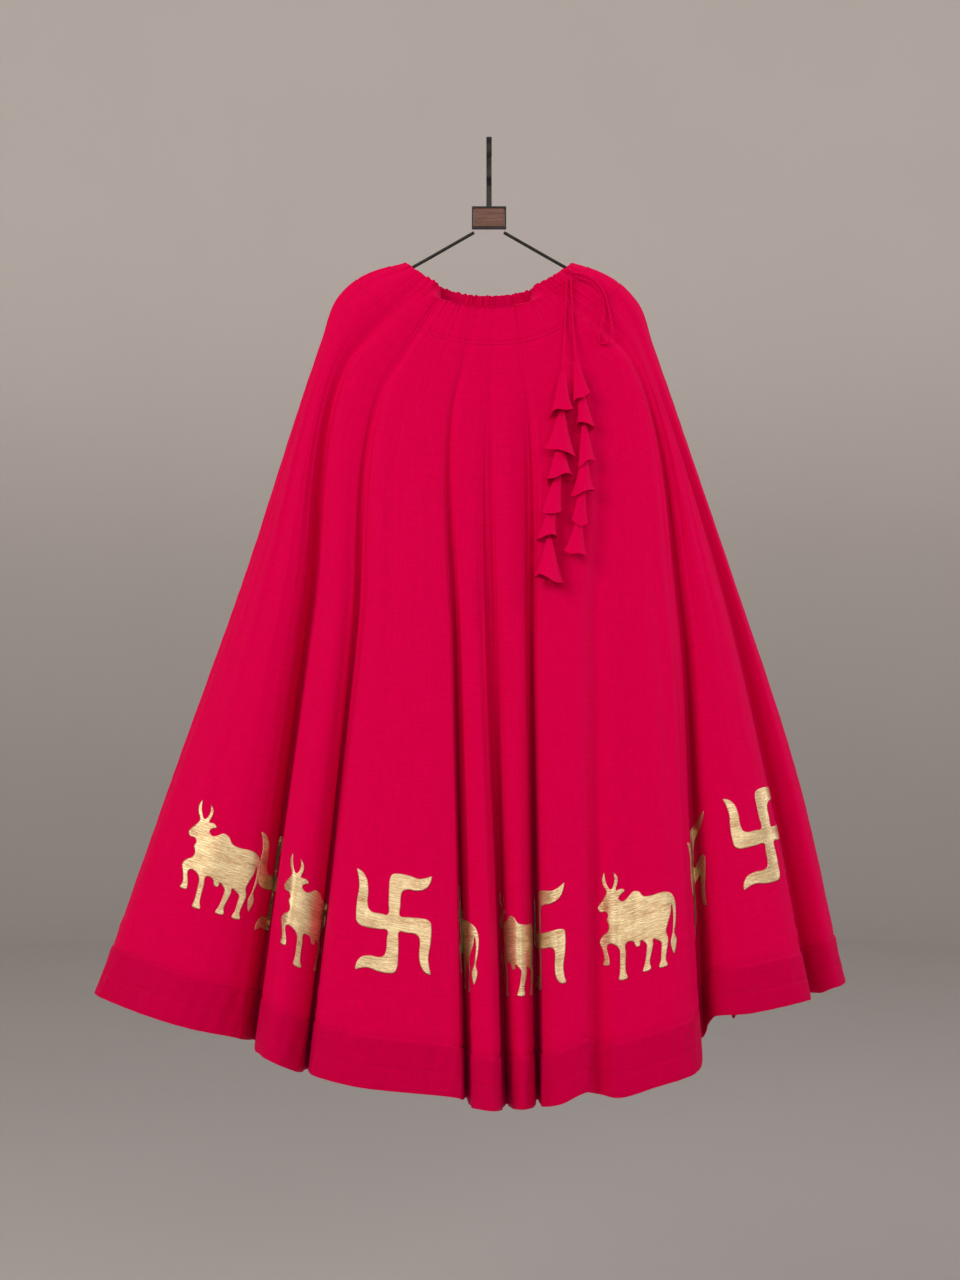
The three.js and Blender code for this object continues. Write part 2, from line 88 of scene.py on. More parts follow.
SILK_DEEP_RED = np.array((0.60, 0.0, 0.048))


def add_node(tree, kind, settings=None, **inputs):
    """A node with its inputs set: a value, or another node's output to link."""
    made = tree.nodes.new(kind)
    for name, value in (settings or {}).items():
        setattr(made, name, value)
    for name, value in inputs.items():
        socket = made.inputs[name.replace("_", " ")]
        if isinstance(value, bpy.types.NodeSocket):
            tree.links.new(value, socket)
        else:
            socket.default_value = value
    return made


def new_finish(name, **shader_inputs):
    """A material and its shader, with the shader's own sockets set."""
    finish = bpy.data.materials.new(name)
    finish.use_nodes = True
    shader = finish.node_tree.nodes["Principled BSDF"]
    for socket, value in shader_inputs.items():
        shader.inputs[socket.replace("_", " ")].default_value = value
    return finish, finish.node_tree, shader


def streaks(tree, place, scale, detail=3.0):
    """Noise drawn out along one direction, as uneven threads are."""
    stretched = add_node(tree, "ShaderNodeMapping", Vector=place, Scale=scale)
    noise = add_node(
        tree, "ShaderNodeTexNoise", Vector=stretched.outputs[0], Scale=1.0, Detail=detail
    )
    return noise.outputs["Fac"]


def two_tones(tree, share, dark, light, start=0.0, end=1.0):
    """A colour from dark to light as share goes from start to end."""
    ramp = add_node(tree, "ShaderNodeValToRGB", Fac=share)
    first, last = ramp.color_ramp.elements
    first.position, last.position = start, end
    first.color = (*dark, 1)
    last.color = (*light, 1)
    return ramp.outputs["Color"]


def blended(tree, share, a, b):
    """A value this share of the way from a to b."""
    blend = add_node(tree, "ShaderNodeMix", {"data_type": "FLOAT"}, Factor=share, A=a, B=b)
    return blend.outputs[0]


def raised(tree, shader, height, strength, distance):
    """Lets the shader see height as a fine relief."""
    relief = add_node(tree, "ShaderNodeBump", Height=height, Strength=strength, Distance=distance)
    tree.links.new(relief.outputs["Normal"], shader.inputs["Normal"])


def silk_finish(name, place_output, along, across, depth=1.0):
    """Fine plain-woven silk with slightly uneven threads both ways; a smaller depth scales its whole
    colour darker, which the hem band uses for painted shade.
    """
    finish, tree, shader = new_finish(
        name,
        Roughness=0.62,
        Specular_IOR_Level=0.14,
        Specular_Tint=(1.0, 0.0, 0.30, 1),
        Sheen_Weight=0.16,
        Sheen_Roughness=0.45,
        Sheen_Tint=(1.0, 0.0, 0.28, 1),
    )
    source = add_node(tree, "ShaderNodeTexCoord" if place_output == "Object" else "ShaderNodeUVMap")
    place = source.outputs[place_output]
    warp = streaks(tree, place, along)
    weft = streaks(tree, place, across)
    threads = blended(tree, 0.5, warp, weft)
    tone = two_tones(tree, threads, depth * SILK_DEEP_RED, depth * SILK_RED, 0.36, 0.64)
    tree.links.new(tone, shader.inputs["Base Color"])
    raised(tree, shader, threads, 0.35, 0.0006)
    return finish


piping_finish = silk_finish("rolled_silk_cord", "Object", (900, 900, 120), (260, 260, 420))


def eased(a, b, slope_a, slope_b, p):
    """The smooth curve from a to b that leaves and arrives at the given slopes, at share p."""
    return (
        (2 * p**3 - 3 * p**2 + 1) * a
        + (p**3 - 2 * p**2 + p) * slope_a
        + (3 * p**2 - 2 * p**3) * b
        + (p**3 - p**2) * slope_b
    )


def run_along(points):
    """How far each point is from the first, along the line through them."""
    return np.concatenate([[0], np.cumsum(np.linalg.norm(np.diff(points, axis=0), axis=1))])


CURVE_STEPS = 24


def through(places, count):
    """Points along the centripetal Catmull-Rom curve through these places."""
    given = np.array(places, float)
    first = 2 * given[0] - given[1]
    last = 2 * given[-1] - given[-2]
    knots = np.vstack([first, given, last])
    steps = np.maximum(np.linalg.norm(np.diff(knots, axis=0), axis=1) ** 0.5, 1e-6)
    found = []
    for i in range(1, len(knots) - 2):
        t0, t1, t2 = steps[i - 1], steps[i], steps[i + 1]
        p0, p1, p2, p3 = knots[i - 1 : i + 3]
        from_slope = ((p1 - p0) / t0 - (p2 - p0) / (t0 + t1) + (p2 - p1) / t1) * t1
        to_slope = ((p2 - p1) / t1 - (p3 - p1) / (t1 + t2) + (p3 - p2) / t2) * t1
        for share in np.linspace(0, 1, CURVE_STEPS, endpoint=False):
            found.append(eased(p1, p2, from_slope, to_slope, share))
    fine = np.array(found + [given[-1]])
    run = run_along(fine)
    even = np.linspace(0, run[-1], count)
    return np.stack([np.interp(even, run, fine[:, k]) for k in range(3)], axis=1)


def round_cord(name, points, radius, finish, closed=False):
    """A round cord or wire as one curve, its points in millimetres."""
    data = bpy.data.curves.new(name, "CURVE")
    data.dimensions = "3D"
    data.bevel_depth = radius * MM
    data.bevel_resolution = 5
    data.use_fill_caps = True
    spline = data.splines.new("POLY")
    spline.points.add(len(points) - 1)
    for point, place in zip(spline.points, points):
        point.co = (place[0] * MM, place[1] * MM, place[2] * MM, 1)
    spline.use_cyclic_u = closed
    spline.use_smooth = True
    data.materials.append(finish)
    return in_scene(name, data)


def stands_for(made, node):
    """Puts a finished piece in the place of the plain one with this node's name."""
    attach(made, "root")
    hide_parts(node)
    return made


end_lines = {side: through(route, END_POINTS) for side, route in TASSEL_ROUTES.items()}
for side, line in end_lines.items():
    cord = round_cord(f"cord_end_{side}", line, CORD_RADIUS, piping_finish)
    stands_for(cord, f"drawstring_end_{side}")

bow_line = through(LOOP_ROUTE, LOOP_POINTS)
bow = round_cord("bow_loop", bow_line, CORD_RADIUS, piping_finish)
stands_for(bow, "drawstring_loop")

turn = np.linspace(0, 2 * math.pi, KNOT_POINTS, endpoint=False)
trefoil = np.stack(
    [
        np.sin(turn) + 2 * np.sin(2 * turn),
        -np.sin(3 * turn),
        np.cos(turn) - 2 * np.cos(2 * turn),
    ],
    axis=1,
)
trefoil /= np.abs(trefoil).max(axis=0)
inside_radius = np.array(KNOT_SIZE) / 2 - CORD_RADIUS
knot = round_cord(
    "tie_knot", trefoil * inside_radius + KNOT_MIDDLE, CORD_RADIUS, piping_finish, closed=True
)
stands_for(knot, "drawstring_knot")

# ---- tassels ----
# Two chains of small silk bells, each a disc of cloth gathered to a point on the cord. The mouths
# are cut on the bias, so that their edges wave and curl.
BELLS = {
    # where its top is along the cord, from 0 to 1, then its length and the radius of its mouth
    "left": [
        (0.32, 58, 15), (0.44, 58, 19), (0.54, 54, 17),
        (0.645, 52, 14), (0.745, 50, 13), (0.855, 58, 19),
    ],
    "right": [
        (0.31, 52, 12), (0.42, 50, 13), (0.54, 52, 12),
        (0.65, 50, 14), (0.76, 48, 11), (0.87, 46, 14),
    ],
}
BELL_FLATNESS = 0.62
BELL_RUFFLE = 0.13
BELL_SLANT = 0.10
BELL_WALL = 0.7
BELL_ROWS = 22
BELL_SIDES = 64
TILT_REACH = 0.04  # a bell hangs towards the point this share of the cord below its top

tassel_finish = silk_finish("tassel_silk", "Object", (900, 900, 160), (300, 300, 900))
chance = np.random.default_rng(11)


def finished_mesh(name, points, faces, finish, sharp=50, grain=None):
    """A mesh object from points in millimetres, smooth but for its sharp edges."""
    mesh = bpy.data.meshes.new(name)
    mesh.from_pydata((np.array(points) * MM).tolist(), [], faces)
    if grain is not None:
        layer = mesh.uv_layers.new(name="grain")
        corners = np.zeros(len(mesh.loops), np.int32)
        mesh.loops.foreach_get("vertex_index", corners)
        layer.data.foreach_set("uv", (grain * MM)[corners].astype(np.float32).ravel())
    mesh.materials.append(finish)
    mesh.shade_smooth()
    mesh.set_sharp_from_angle(angle=math.radians(sharp))
    return in_scene(name, mesh)


def ring_faces(rings, sides, closed=False):
    """Four-cornered faces from each ring of points to the next, and from the last if closed."""
    faces = []
    for ring in range(rings if closed else rings - 1):
        base = ring * sides
        following = (ring + 1) % rings * sides
        for side in range(sides):
            beside = (side + 1) % sides
            faces.append((base + side, base + beside, following + beside, following + side))
    return faces


def silk_bell(name, top, below, length, radius):
    """One hollow bell that hangs from top towards below."""
    fall = (below - top) / np.linalg.norm(below - top)
    aside = np.cross((0, 1, 0), -fall)
    aside /= np.linalg.norm(aside)
    front = np.cross(aside, fall)
    first_wave, second_wave, slant_turn = chance.uniform(0, 2 * math.pi, 3)
    waves = int(chance.integers(2, 4))
    neck = (CORD_RADIUS + 0.6) / BELL_FLATNESS + BELL_WALL
    around_bell = np.linspace(0, 2 * math.pi, BELL_SIDES, endpoint=False)
    layers = []
    for wall in (0, BELL_WALL):
        for down in np.linspace(0, 1, BELL_ROWS):
            flare = 0.9 * down + 0.1 * down**5
            ruffle = BELL_RUFFLE * down**2
            wave = 1 + ruffle * np.cos(waves * around_bell + first_wave)
            wave += 0.45 * ruffle * np.cos((waves + 2) * around_bell + second_wave)
            reach = neck + (radius - neck) * flare * wave - wall
            slant = BELL_SLANT * down**3 * np.cos(around_bell + slant_turn)
            slant += 0.035 * down**4 * np.cos(waves * around_bell + second_wave)
            fallen = length * (down + slant - 0.07 * down**3)
            layers.append(
                top
                + np.outer(np.cos(around_bell) * reach, aside)
                + np.outer(np.sin(around_bell) * reach * BELL_FLATNESS, front)
                + np.outer(fallen, fall)
            )
    outer_rows = layers[:BELL_ROWS]
    inner_rows = layers[BELL_ROWS:][::-1]
    faces = ring_faces(2 * BELL_ROWS, BELL_SIDES, closed=True)
    return finished_mesh(name, np.vstack(outer_rows + inner_rows), faces, tassel_finish)


for side, bells in BELLS.items():
    line = end_lines[side]
    for number, (place, length, radius) in enumerate(bells, start=1):
        shares = np.linspace(0, 1, len(line))
        top, below = (
            np.array([np.interp(min(1, at), shares, line[:, k]) for k in range(3)])
            for at in (place, place + TILT_REACH)
        )
        bell = silk_bell(f"silk_bell_{side}_{number}", top, below, length, radius)
        stands_for(bell, f"tassel_{side}_bell_{number}")

# ---- the skirt's cloth ----
# One piece of fine silk all round, sewn from twelve tapered panels. It is gathered into the waist
# and hangs in deep uneven flutes, because its hem is nearly eight times as long as its waist.
CLOTH_LENGTH = 1040
CASING_END = 19
YOKE_END = 66
BAND_TOP = 975
CLOTH_WALL = 1.2
CASING_WALL = 2.2
SEAM_GAP = 0.02
PANELS_PER_SIDE = 6
PANELS_PER_BAND = 2
WAIST_HALF_WIDTH = 109
WAIST_HALF_DEPTH = 15
WAIST_SQUARENESS = 5
WAIST_MIDDLE_Z = -203
WAIST_END_Z = -162
WAIST_SAG_POWER = 2.3
ARM_TIP = 100
OUT_BY_ARM_TIP = (0.61, 0.79)
LEVEL_AT_SIDE = 0.96
HIP, KNEE, CALF = 165, 480, 760
CALF_SWELL = 12
EDGE_SET_BACK = 0.24
STEP = 5
LEFT_SIDE = ([(-220, 0), (-316, -8), (-510, -24)], 24)
RIGHT_SIDE = ([(216, 0), (318, 0), (465, -4)], -8)
# Each flute at the hip, the knee and the hem: its left and right edge and how far it stands forward.
# Then where across it its crest is, how much lower its hem hangs, and the gully after it.
FRONT_FLUTES = [
    ([(-218, -198, -19), (-316, -243, -50), (-510, -318, -98)], 0.7, 2, (-14, -22, -34)),
    ([(-180, -150, -28), (-219, -180, -68), (-291, -238, -142)], 0.5, 2, (-25, -50, -76)),
    ([(-130, -57, -34), (-159, -50, -84), (-222, -36, -172)], 0.34, -5, (-27, -52, -88)),
    ([(-39, -9, -32), (-36, -6, -70), (-20, 14, -166)], 0.7, 5, (-29, -50, -80)),
    ([(14, 44, -32), (17, 47, -72), (28, 54, -150)], 0.5, 4, (-29, -48, -70)),
    ([(62, 118, -33), (62, 116, -78), (68, 122, -156)], 0.42, 6, (-29, -62, -132)),
    ([(144, 183, -27), (158, 234, -68), (158, 262, -150)], 0.45, 28, (-17, -30, -40)),
    ([(197, 202, -15), (258, 296, -46), (288, 406, -98)], 0.35, -27, (-11, -11, -14)),
    ([(207, 214, -9), (312, 317, -14), (428, 464, -34)], 0.5, -18, None),
]
BACK_FLUTES = [
    ([(216, 178, 18), (317, 236, 46), (465, 332, 84)], 0.6, -14, (13, 24, 34)),
    ([(160, 118, 27), (216, 150, 64), (318, 190, 128)], 0.5, -34, (24, 46, 66)),
    ([(98, 48, 31), (126, 62, 72), (176, 71, 142)], 0.5, 0, (27, 50, 70)),
    ([(28, -30, 31), (40, -34, 74), (47, -72, 146)], 0.5, 6, (27, 50, 70)),
    ([(-50, -100, 31), (-58, -122, 70), (-88, -192, 138)], 0.5, 0, (24, 46, 66)),
    ([(-120, -162, 26), (-146, -212, 62), (-206, -322, 126)], 0.5, 3, (13, 22, 34)),
    ([(-182, -220, 17), (-234, -316, 44), (-346, -510, 82)], 0.4, 6, None),
]


def mix(a, b, share):
    """The value that lies this share of the way from a to b."""
    return a + (b - a) * share


def fold_lines(flutes):
    """The edges, crests and gullies of the flutes, each as its three places and its drop."""
    found = []
    for i, (levels, lean, drop, gully) in enumerate(flutes):
        before = flutes[i - 1][3] if i else None
        if before:
            places = [(l, mix(y, g, EDGE_SET_BACK)) for (l, r, y), g in zip(levels, before)]
            found.append((places, drop))
        found.append(([(mix(l, r, lean), y) for l, r, y in levels], drop))
        if gully:
            after, _, next_drop, _ = flutes[i + 1]
            places = [(r, mix(y, g, EDGE_SET_BACK)) for (l, r, y), g in zip(levels, gully)]
            found.append((places, drop))
            places = [(mix(r, n[0], 0.5), g) for (l, r, y), n, g in zip(levels, after, gully)]
            found.append((places, mix(drop, next_drop, 0.5)))
    return found


front_lines = fold_lines(FRONT_FLUTES)
lines = [LEFT_SIDE, *front_lines, RIGHT_SIDE, *fold_lines(BACK_FLUTES)]
right_side_number = 1 + len(front_lines)
hems = np.array([places[2] for places, _ in lines], float)
hem_steps = np.linalg.norm(np.roll(hems, -1, axis=0) - hems, axis=1)
around = np.concatenate([[0], np.cumsum(hem_steps)])
HEM_ROUND = around[-1]
FRONT_ROUND = around[right_side_number]
BACK_ROUND = HEM_ROUND - FRONT_ROUND
LEVEL_DOWNS = np.array([0, ARM_TIP, HIP, KNEE, CALF, CLOTH_LENGTH], float)
downs_on_line = np.arange(0, CLOTH_LENGTH + STEP + 1, STEP, dtype=float)
MOST_SIDEWAYS = 0.985  # of each step down the cloth, so that it always falls


def smooth_curve(values, first_slope, at):
    """The curve through values at the levels of the cloth, with a given slope at the waist."""
    steps = np.diff(values) / np.diff(LEVEL_DOWNS)
    slopes = np.concatenate([[first_slope], (steps[:-1] + steps[1:]) / 2, [steps[-1]]])
    k = np.clip(np.searchsorted(LEVEL_DOWNS, at, "left") - 1, 0, len(steps) - 1)
    span = LEVEL_DOWNS[k + 1] - LEVEL_DOWNS[k]
    p = (at - LEVEL_DOWNS[k]) / span
    return eased(values[k], values[k + 1], span * slopes[k], span * slopes[k + 1], p)


def hanging_line(number):
    """One fold line from waist to hem, as points evenly spaced down the cloth."""
    places, drop = lines[number]
    on_front = number <= right_side_number
    share = 2 * around[number] / FRONT_ROUND - 1
    if not on_front:
        share = 1 - 2 * (around[number] - FRONT_ROUND) / BACK_ROUND
    side = 0 if number in (0, right_side_number) else (-1 if on_front else 1)
    blunt = math.sqrt(max(0, 1 - abs(share) ** WAIST_SQUARENESS))
    start = (WAIST_HALF_WIDTH * share, side * WAIST_HALF_DEPTH * blunt)
    start_z = mix(WAIST_MIDDLE_Z, WAIST_END_Z, abs(share) ** WAIST_SAG_POWER)
    by_arm_tip = mix(*OUT_BY_ARM_TIP, share**4)
    swell = (CALF_SWELL * max(0, share) ** 6, 0)
    level_start = math.copysign(LEVEL_AT_SIDE, share)
    plan = []
    for axis in (0, 1):
        hip, knee, hem = (place[axis] for place in places)
        slope = (hip - start[axis]) / HIP
        if axis == 0:
            slope = mix(slope, level_start, abs(share) ** 7)
        calf = mix(knee, hem, 0.5) + swell[axis]
        values = np.array([start[axis], mix(start[axis], hip, by_arm_tip), hip, knee, calf, hem])
        plan.append(smooth_curve(values, slope, downs_on_line))
    sideways = np.hypot(np.diff(plan[0]), np.diff(plan[1]))
    level = np.minimum(MOST_SIDEWAYS * STEP, sideways)
    falls = np.sqrt(STEP**2 - level**2)
    heights = start_z - np.concatenate([[0], np.cumsum(falls)])
    heights -= drop * (downs_on_line / CLOTH_LENGTH) ** 2
    return np.stack([*plan, heights], axis=1)


hanging = np.array([hanging_line(number) for number in range(len(lines))])


def smooth_cloth(across, down):
    """The cloth without its gathers and small creases, at places across and down."""
    count = len(lines)
    at = np.mod(across, HEM_ROUND)
    i = np.clip(np.searchsorted(around, at, "right") - 1, 0, count - 1)
    k = np.clip((down / STEP).astype(int), 0, len(downs_on_line) - 2)
    part = (down / STEP - k)[:, None]
    a, b, c, d = (
        hanging[(i + n) % count, k] * (1 - part) + hanging[(i + n) % count, k + 1] * part
        for n in (-1, 0, 1, 2)
    )
    gap_before, gap, gap_after = (hem_steps[(i + n) % count][:, None] for n in (-1, 0, 1))
    rise_before, rise, rise_after = (b - a) / gap_before, (c - b) / gap, (d - c) / gap_after

    def steady_slope(before, after, width_before, width_after):
        w1 = 2 * width_after + width_before
        w2 = width_after + 2 * width_before
        safe_before = np.where(before * after > 0, before, 1)
        safe_after = np.where(before * after > 0, after, 1)
        slope = (w1 + w2) / (w1 / safe_before + w2 / safe_after)
        return np.where(before * after > 0, slope, 0)

    from_slope = steady_slope(rise_before, rise, gap_before, gap)
    to_slope = steady_slope(rise, rise_after, gap, gap_after)
    p = ((at - around[i]) / hem_steps[i])[:, None]
    return eased(b, c, gap * from_slope, gap * to_slope, p)


ASIDE, BELOW = 1.5, 2  # how far off the places lie that give the cloth's direction


def outward(across, down):
    """The direction out of the cloth at each place."""
    along = smooth_cloth(across + ASIDE, down) - smooth_cloth(across - ASIDE, down)
    fall = smooth_cloth(across, np.minimum(down + BELOW, CLOTH_LENGTH + 3))
    fall -= smooth_cloth(across, np.maximum(down - BELOW, 0))
    out = np.cross(fall, along)
    return out / np.linalg.norm(out, axis=1)[:, None]


def bump_at(distance, width):
    """1 at no distance, and nearly 0 past twice the width."""
    return np.exp(-((distance / width) ** 2))


def faded(value, start, end):
    """0 before start, 1 after end, and smooth between them."""
    p = np.clip((value - start) / (end - start), 0, 1)
    return p * p * (3 - 2 * p)


def rounds(across, count, shift=0.0):
    """The angle of a wave that repeats this many whole times round the skirt."""
    return 2 * math.pi * count * across / HEM_ROUND + shift


GATHERS = 64
PANEL_WIDTHS = (FRONT_ROUND / PANELS_PER_SIDE, BACK_ROUND / PANELS_PER_SIDE)
LOWER_STITCHES = CLOTH_LENGTH - 28


def gathers(across, down):
    """Narrow uneven pleats at the waist, and broader ones that die out below the yoke."""
    uneven = 2.3 * np.sin(rounds(across, 5, 0.4)) + 1.6 * np.sin(rounds(across, 13, 2.0))
    uneven += 0.8 * np.sin(rounds(across, 37, 1.0))
    pleat = np.sqrt(np.sin(rounds(across, GATHERS) / 2 + uneven) ** 2 + 0.06)
    wide_pleat = np.sqrt(np.sin(rounds(across, GATHERS / 4) + 1.2 * uneven) ** 2 + 0.15)
    strength = 1 + 0.45 * np.sin(rounds(across, 9, 1.1))
    height = strength * (pleat - 0.65) * (1.9 * np.exp(-down / 30) + 0.35 * np.exp(-down / 110))
    wide = 1.5 * np.exp(-((down / 90) ** 2)) * faded(down, 0, 30)
    return height + strength * (wide_pleat - 0.65) * wide


def seams(across, down):
    """The dips of the seams across the skirt, and the puckered ones between its panels."""
    height = -0.7 * bump_at(down - CASING_END, 1.3)
    height += 0.4 * bump_at(down - CASING_END - 3.0, 2.2)
    height -= 0.6 * bump_at(down - YOKE_END, 1.3) - 0.25 * bump_at(down - YOKE_END - 4, 3)
    place = np.mod(across, HEM_ROUND)
    on_front = place < FRONT_ROUND
    within = np.where(on_front, place, place - FRONT_ROUND)
    panel = np.where(on_front, *PANEL_WIDTHS)
    from_seam = np.mod(within + panel / 2, panel) - panel / 2
    below_yoke = faded(down, YOKE_END, YOKE_END + 30)
    pucker = np.sin(down / 6.1 + 3 * np.sin(down / 41)) * bump_at(from_seam, 11)
    return height + below_yoke * (0.2 * pucker - 0.4 * bump_at(from_seam, 4.0))


def soft_folds(across, down):
    """Long low folds down the skirt, and the slanting creases that its band drags into it."""
    soft = np.sin(rounds(across, 43, 0.7) + 0.9 * np.sin(down / 210))
    soft += 0.8 * np.sin(rounds(across, 71, 2.9) + 1.1 * np.sin(down / 170 + 1))
    soft += 0.5 * np.sin(rounds(across, 113, 1.3) - 0.8 * np.sin(down / 140 + 2))
    where_soft = 0.6 + 0.4 * np.sin(rounds(across, 7, 0.3) + down / 300)
    height = 1.3 * soft * where_soft * faded(down, 90, 420) * (1 - 0.3 * faded(down, 850, 1000))
    slant = down / 5.4 + 1.6 * np.sin(rounds(across, 11, 0.9)) + rounds(across, 19)
    rough = np.sin(slant) + 0.6 * np.sin(1.63 * slant + rounds(across, 31, 2))
    patch = np.clip(np.sin(rounds(across, 12, 1.9)) + 0.5 * np.sin(rounds(across, 29)), 0, 1.4)
    drag = faded(down, 905, 955) * (1 - faded(down, 968, 980))
    return height + 0.42 * rough * patch * drag


def hem_relief(across, down):
    """The doubled hem band: its seam, its slight ripple, its stitching and its turned edge."""
    height = -0.9 * bump_at(down - BAND_TOP, 1.8)
    height += 0.7 * faded(down, BAND_TOP, BAND_TOP + 3)
    in_band = faded(down, BAND_TOP, BAND_TOP + 12)
    height += 0.45 * in_band * np.sin(rounds(across, 163, 0.5) + down / 14)
    height += 1.5 * faded(down, 940, CLOTH_LENGTH) * np.sin(rounds(across, 29, 1.4))
    height -= 0.5 * bump_at(down - LOWER_STITCHES, 1.4)
    return height - 0.6 * faded(down, CLOTH_LENGTH - 4, CLOTH_LENGTH + 1)


def creases(across, down):
    """How far all that is smaller than a flute stands out of the smooth cloth."""
    fine = np.sin(rounds(across, 190, 1) + 2 * np.sin(down / 37)) * np.sin(down / 23 + 1)
    height = gathers(across, down) + seams(across, down) + soft_folds(across, down)
    return height + hem_relief(across, down) + 0.16 * fine * faded(down, 60, 200)


SCALLOP = 0.65
SCALLOP_DEPTH = 9


def cloth(across, down):
    """The outer face of the cloth, and the direction out of it, in millimetres."""
    across, down = (np.asarray(value, float) for value in (across, down))
    out = outward(across, down)
    place = smooth_cloth(across, down) + out * creases(across, down)[:, None]
    scallop = np.sin(rounds(across, 47, 0.6) + 2 * np.sin(rounds(across, 11)))
    scallop += 0.7 * np.sin(rounds(across, 79, 2.0) + 2 * np.sin(rounds(across, 17, 1)))
    place[:, 2] += SCALLOP * (1 - faded(down, 0, SCALLOP_DEPTH)) * scallop
    return place, out


skirt_finish = silk_finish("skirt_silk", "UV", (1100, 26, 1), (30, 760, 1))
# The hem band's silk is drawn at 0.84 of the skirt's colour: painted shade, where the light falls
# off towards the floor, together with the deeper colour of the doubled silk.
band_finish = silk_finish("doubled_hem_silk_painted_shade", "UV", (1100, 26, 1), (30, 760, 1), 0.84)

# The middle of the front casing folds over inwards. The front goes from -1, left, to 1, right.
FOLD_TURN = math.radians(168)
FOLD_MIDDLE = -0.04
FOLD_REACH = 0.64
FOLD_FULL = 0.4
FOLD_DROP = 1.0
FOLD_ROLL = 4


def folded_casing(across, down):
    """The front casing, whose middle is folded over towards the inside along its lower seam."""
    place, out = cloth(across, down)
    ahead, _ = cloth(across, np.full(len(across), CASING_END + FOLD_DROP))
    behind, _ = cloth(across, np.full(len(across), CASING_END - FOLD_DROP))
    fall = (ahead - behind) / np.linalg.norm(ahead - behind, axis=1)[:, None]
    share = 2 * across / FRONT_ROUND - 1 - FOLD_MIDDLE
    turn = (FOLD_TURN * (1 - faded(np.abs(share), FOLD_FULL * FOLD_REACH, FOLD_REACH)))[:, None]
    above = (CASING_END - down)[:, None]
    moved = place + above * (fall * (1 - np.cos(turn)) - out * np.sin(turn))
    tucked = (CASING_WALL + CLOTH_WALL) * faded(above, 0, FOLD_ROLL) * (1 - np.cos(turn)) / 2
    return moved - out * tucked, out * np.cos(turn) - fall * np.sin(turn)


panels = {}


def cloth_wall(
    name, node, first, last, top, bottom, column, row, thickness=CLOTH_WALL, shape=cloth
):
    """A cut piece: a closed wall of two faces between two places across and two down."""
    top_edge = top + (SEAM_GAP / 2 if top > 0 else 0)
    bottom_edge = bottom - (SEAM_GAP / 2 if bottom < CLOTH_LENGTH else 0)
    columns = np.linspace(first, last, max(2, round((last - first) / column)) + 1)
    rows = np.linspace(top_edge, bottom_edge, max(2, round((bottom - top) / row)) + 1)
    columns[0] += SEAM_GAP
    columns[-1] -= SEAM_GAP
    down, across = (grid.ravel() for grid in np.meshgrid(rows, columns, indexing="ij"))
    outer, out = shape(across, down)
    inner = outer - out * thickness
    w, h = len(columns), len(rows)
    grid = outer.reshape(h, w, 3)
    run = np.linalg.norm(np.diff(grid, axis=1), axis=2)
    run = np.concatenate([np.zeros((h, 1)), np.cumsum(run, axis=1)], axis=1)
    run -= run[:, w // 2 : w // 2 + 1]
    grain = np.stack([run.ravel(), down], axis=1)
    back = len(outer)
    a = (np.arange(h - 1)[:, None] * w + np.arange(w - 1)).ravel()
    left = np.arange(h - 1) * w
    right = left + w - 1
    upper = np.arange(w - 1)
    lower = (h - 1) * w + upper
    sides = [
        (a, a + w, a + w + 1, a + 1),
        (back + a, back + a + 1, back + a + w + 1, back + a + w),
        (left, back + left, back + left + w, left + w),
        (right, right + w, back + right + w, back + right),
        (upper, upper + 1, back + upper + 1, back + upper),
        (lower, back + lower, back + lower + 1, lower + 1),
    ]
    faces = np.vstack([np.stack(corners, axis=1) for corners in sides]).tolist()
    finish = band_finish if top >= BAND_TOP else skirt_finish
    points = np.vstack([outer, inner])
    made = finished_mesh(
        name, points, faces, finish, sharp=60, grain=np.vstack([grain, grain])
    )
    panels[node] = stands_for(made, node)


# ---- the sewn pieces ----
# The drawstring casing and the yoke go round the waist in a front and a back piece. Under them hang
# six tapered panels, called kalis, on each side, and three strips of doubled hem band.
FINE = {"front": (4.0, 6.5), "back": (6.0, 9.0)}  # spacing of the mesh across and down
CASING_FINER, CASING_ROW = 0.7, 1.2
YOKE_FINER, YOKE_ROW = 0.8, 1.8
BAND_ROW = 2.2
HALVES = {"front": (0, FRONT_ROUND), "back": (FRONT_ROUND, HEM_ROUND)}
for half, (start, end) in HALVES.items():
    column, row = FINE[half]
    panel = (end - start) / PANELS_PER_SIDE
    strip = PANELS_PER_BAND * panel
    cloth_wall(
        f"casing_{half}", f"waist_casing_{half}", start, end, 0, CASING_END,
        column * CASING_FINER, CASING_ROW, CASING_WALL,
        folded_casing if half == "front" else cloth,
    )
    cloth_wall(
        f"yoke_{half}_silk", f"yoke_{half}", start, end, CASING_END, YOKE_END,
        column * YOKE_FINER, YOKE_ROW,
    )
    for number in range(PANELS_PER_SIDE):
        node, left = f"kali_{half}_{number + 1}", start + number * panel
        cloth_wall(f"{node}_silk", node, left, left + panel, YOKE_END, BAND_TOP, column, row)
    for number in range(PANELS_PER_SIDE // PANELS_PER_BAND):
        node, left = f"hem_band_{half}_{number + 1}", start + number * strip
        cloth_wall(
            f"{node}_silk", node, left, left + strip, BAND_TOP, CLOTH_LENGTH, column, BAND_ROW
        )

# ---- woven gold figures ----
# Zari, a gold-wound thread, woven into the silk in figures a hand high: a zebu cow and the
# right-facing swastik, turn about, all round the skirt above the hem.
GOLD_LIFT = 0.35
GOLD_THICKNESS = 0.25
GOLD_EDGE = 1.3  # width of the rim where silk shows between the gold threads
GRID = 5.0
OUTLINE_STEP = 2.2
POINTS_PER_CORNER = 60

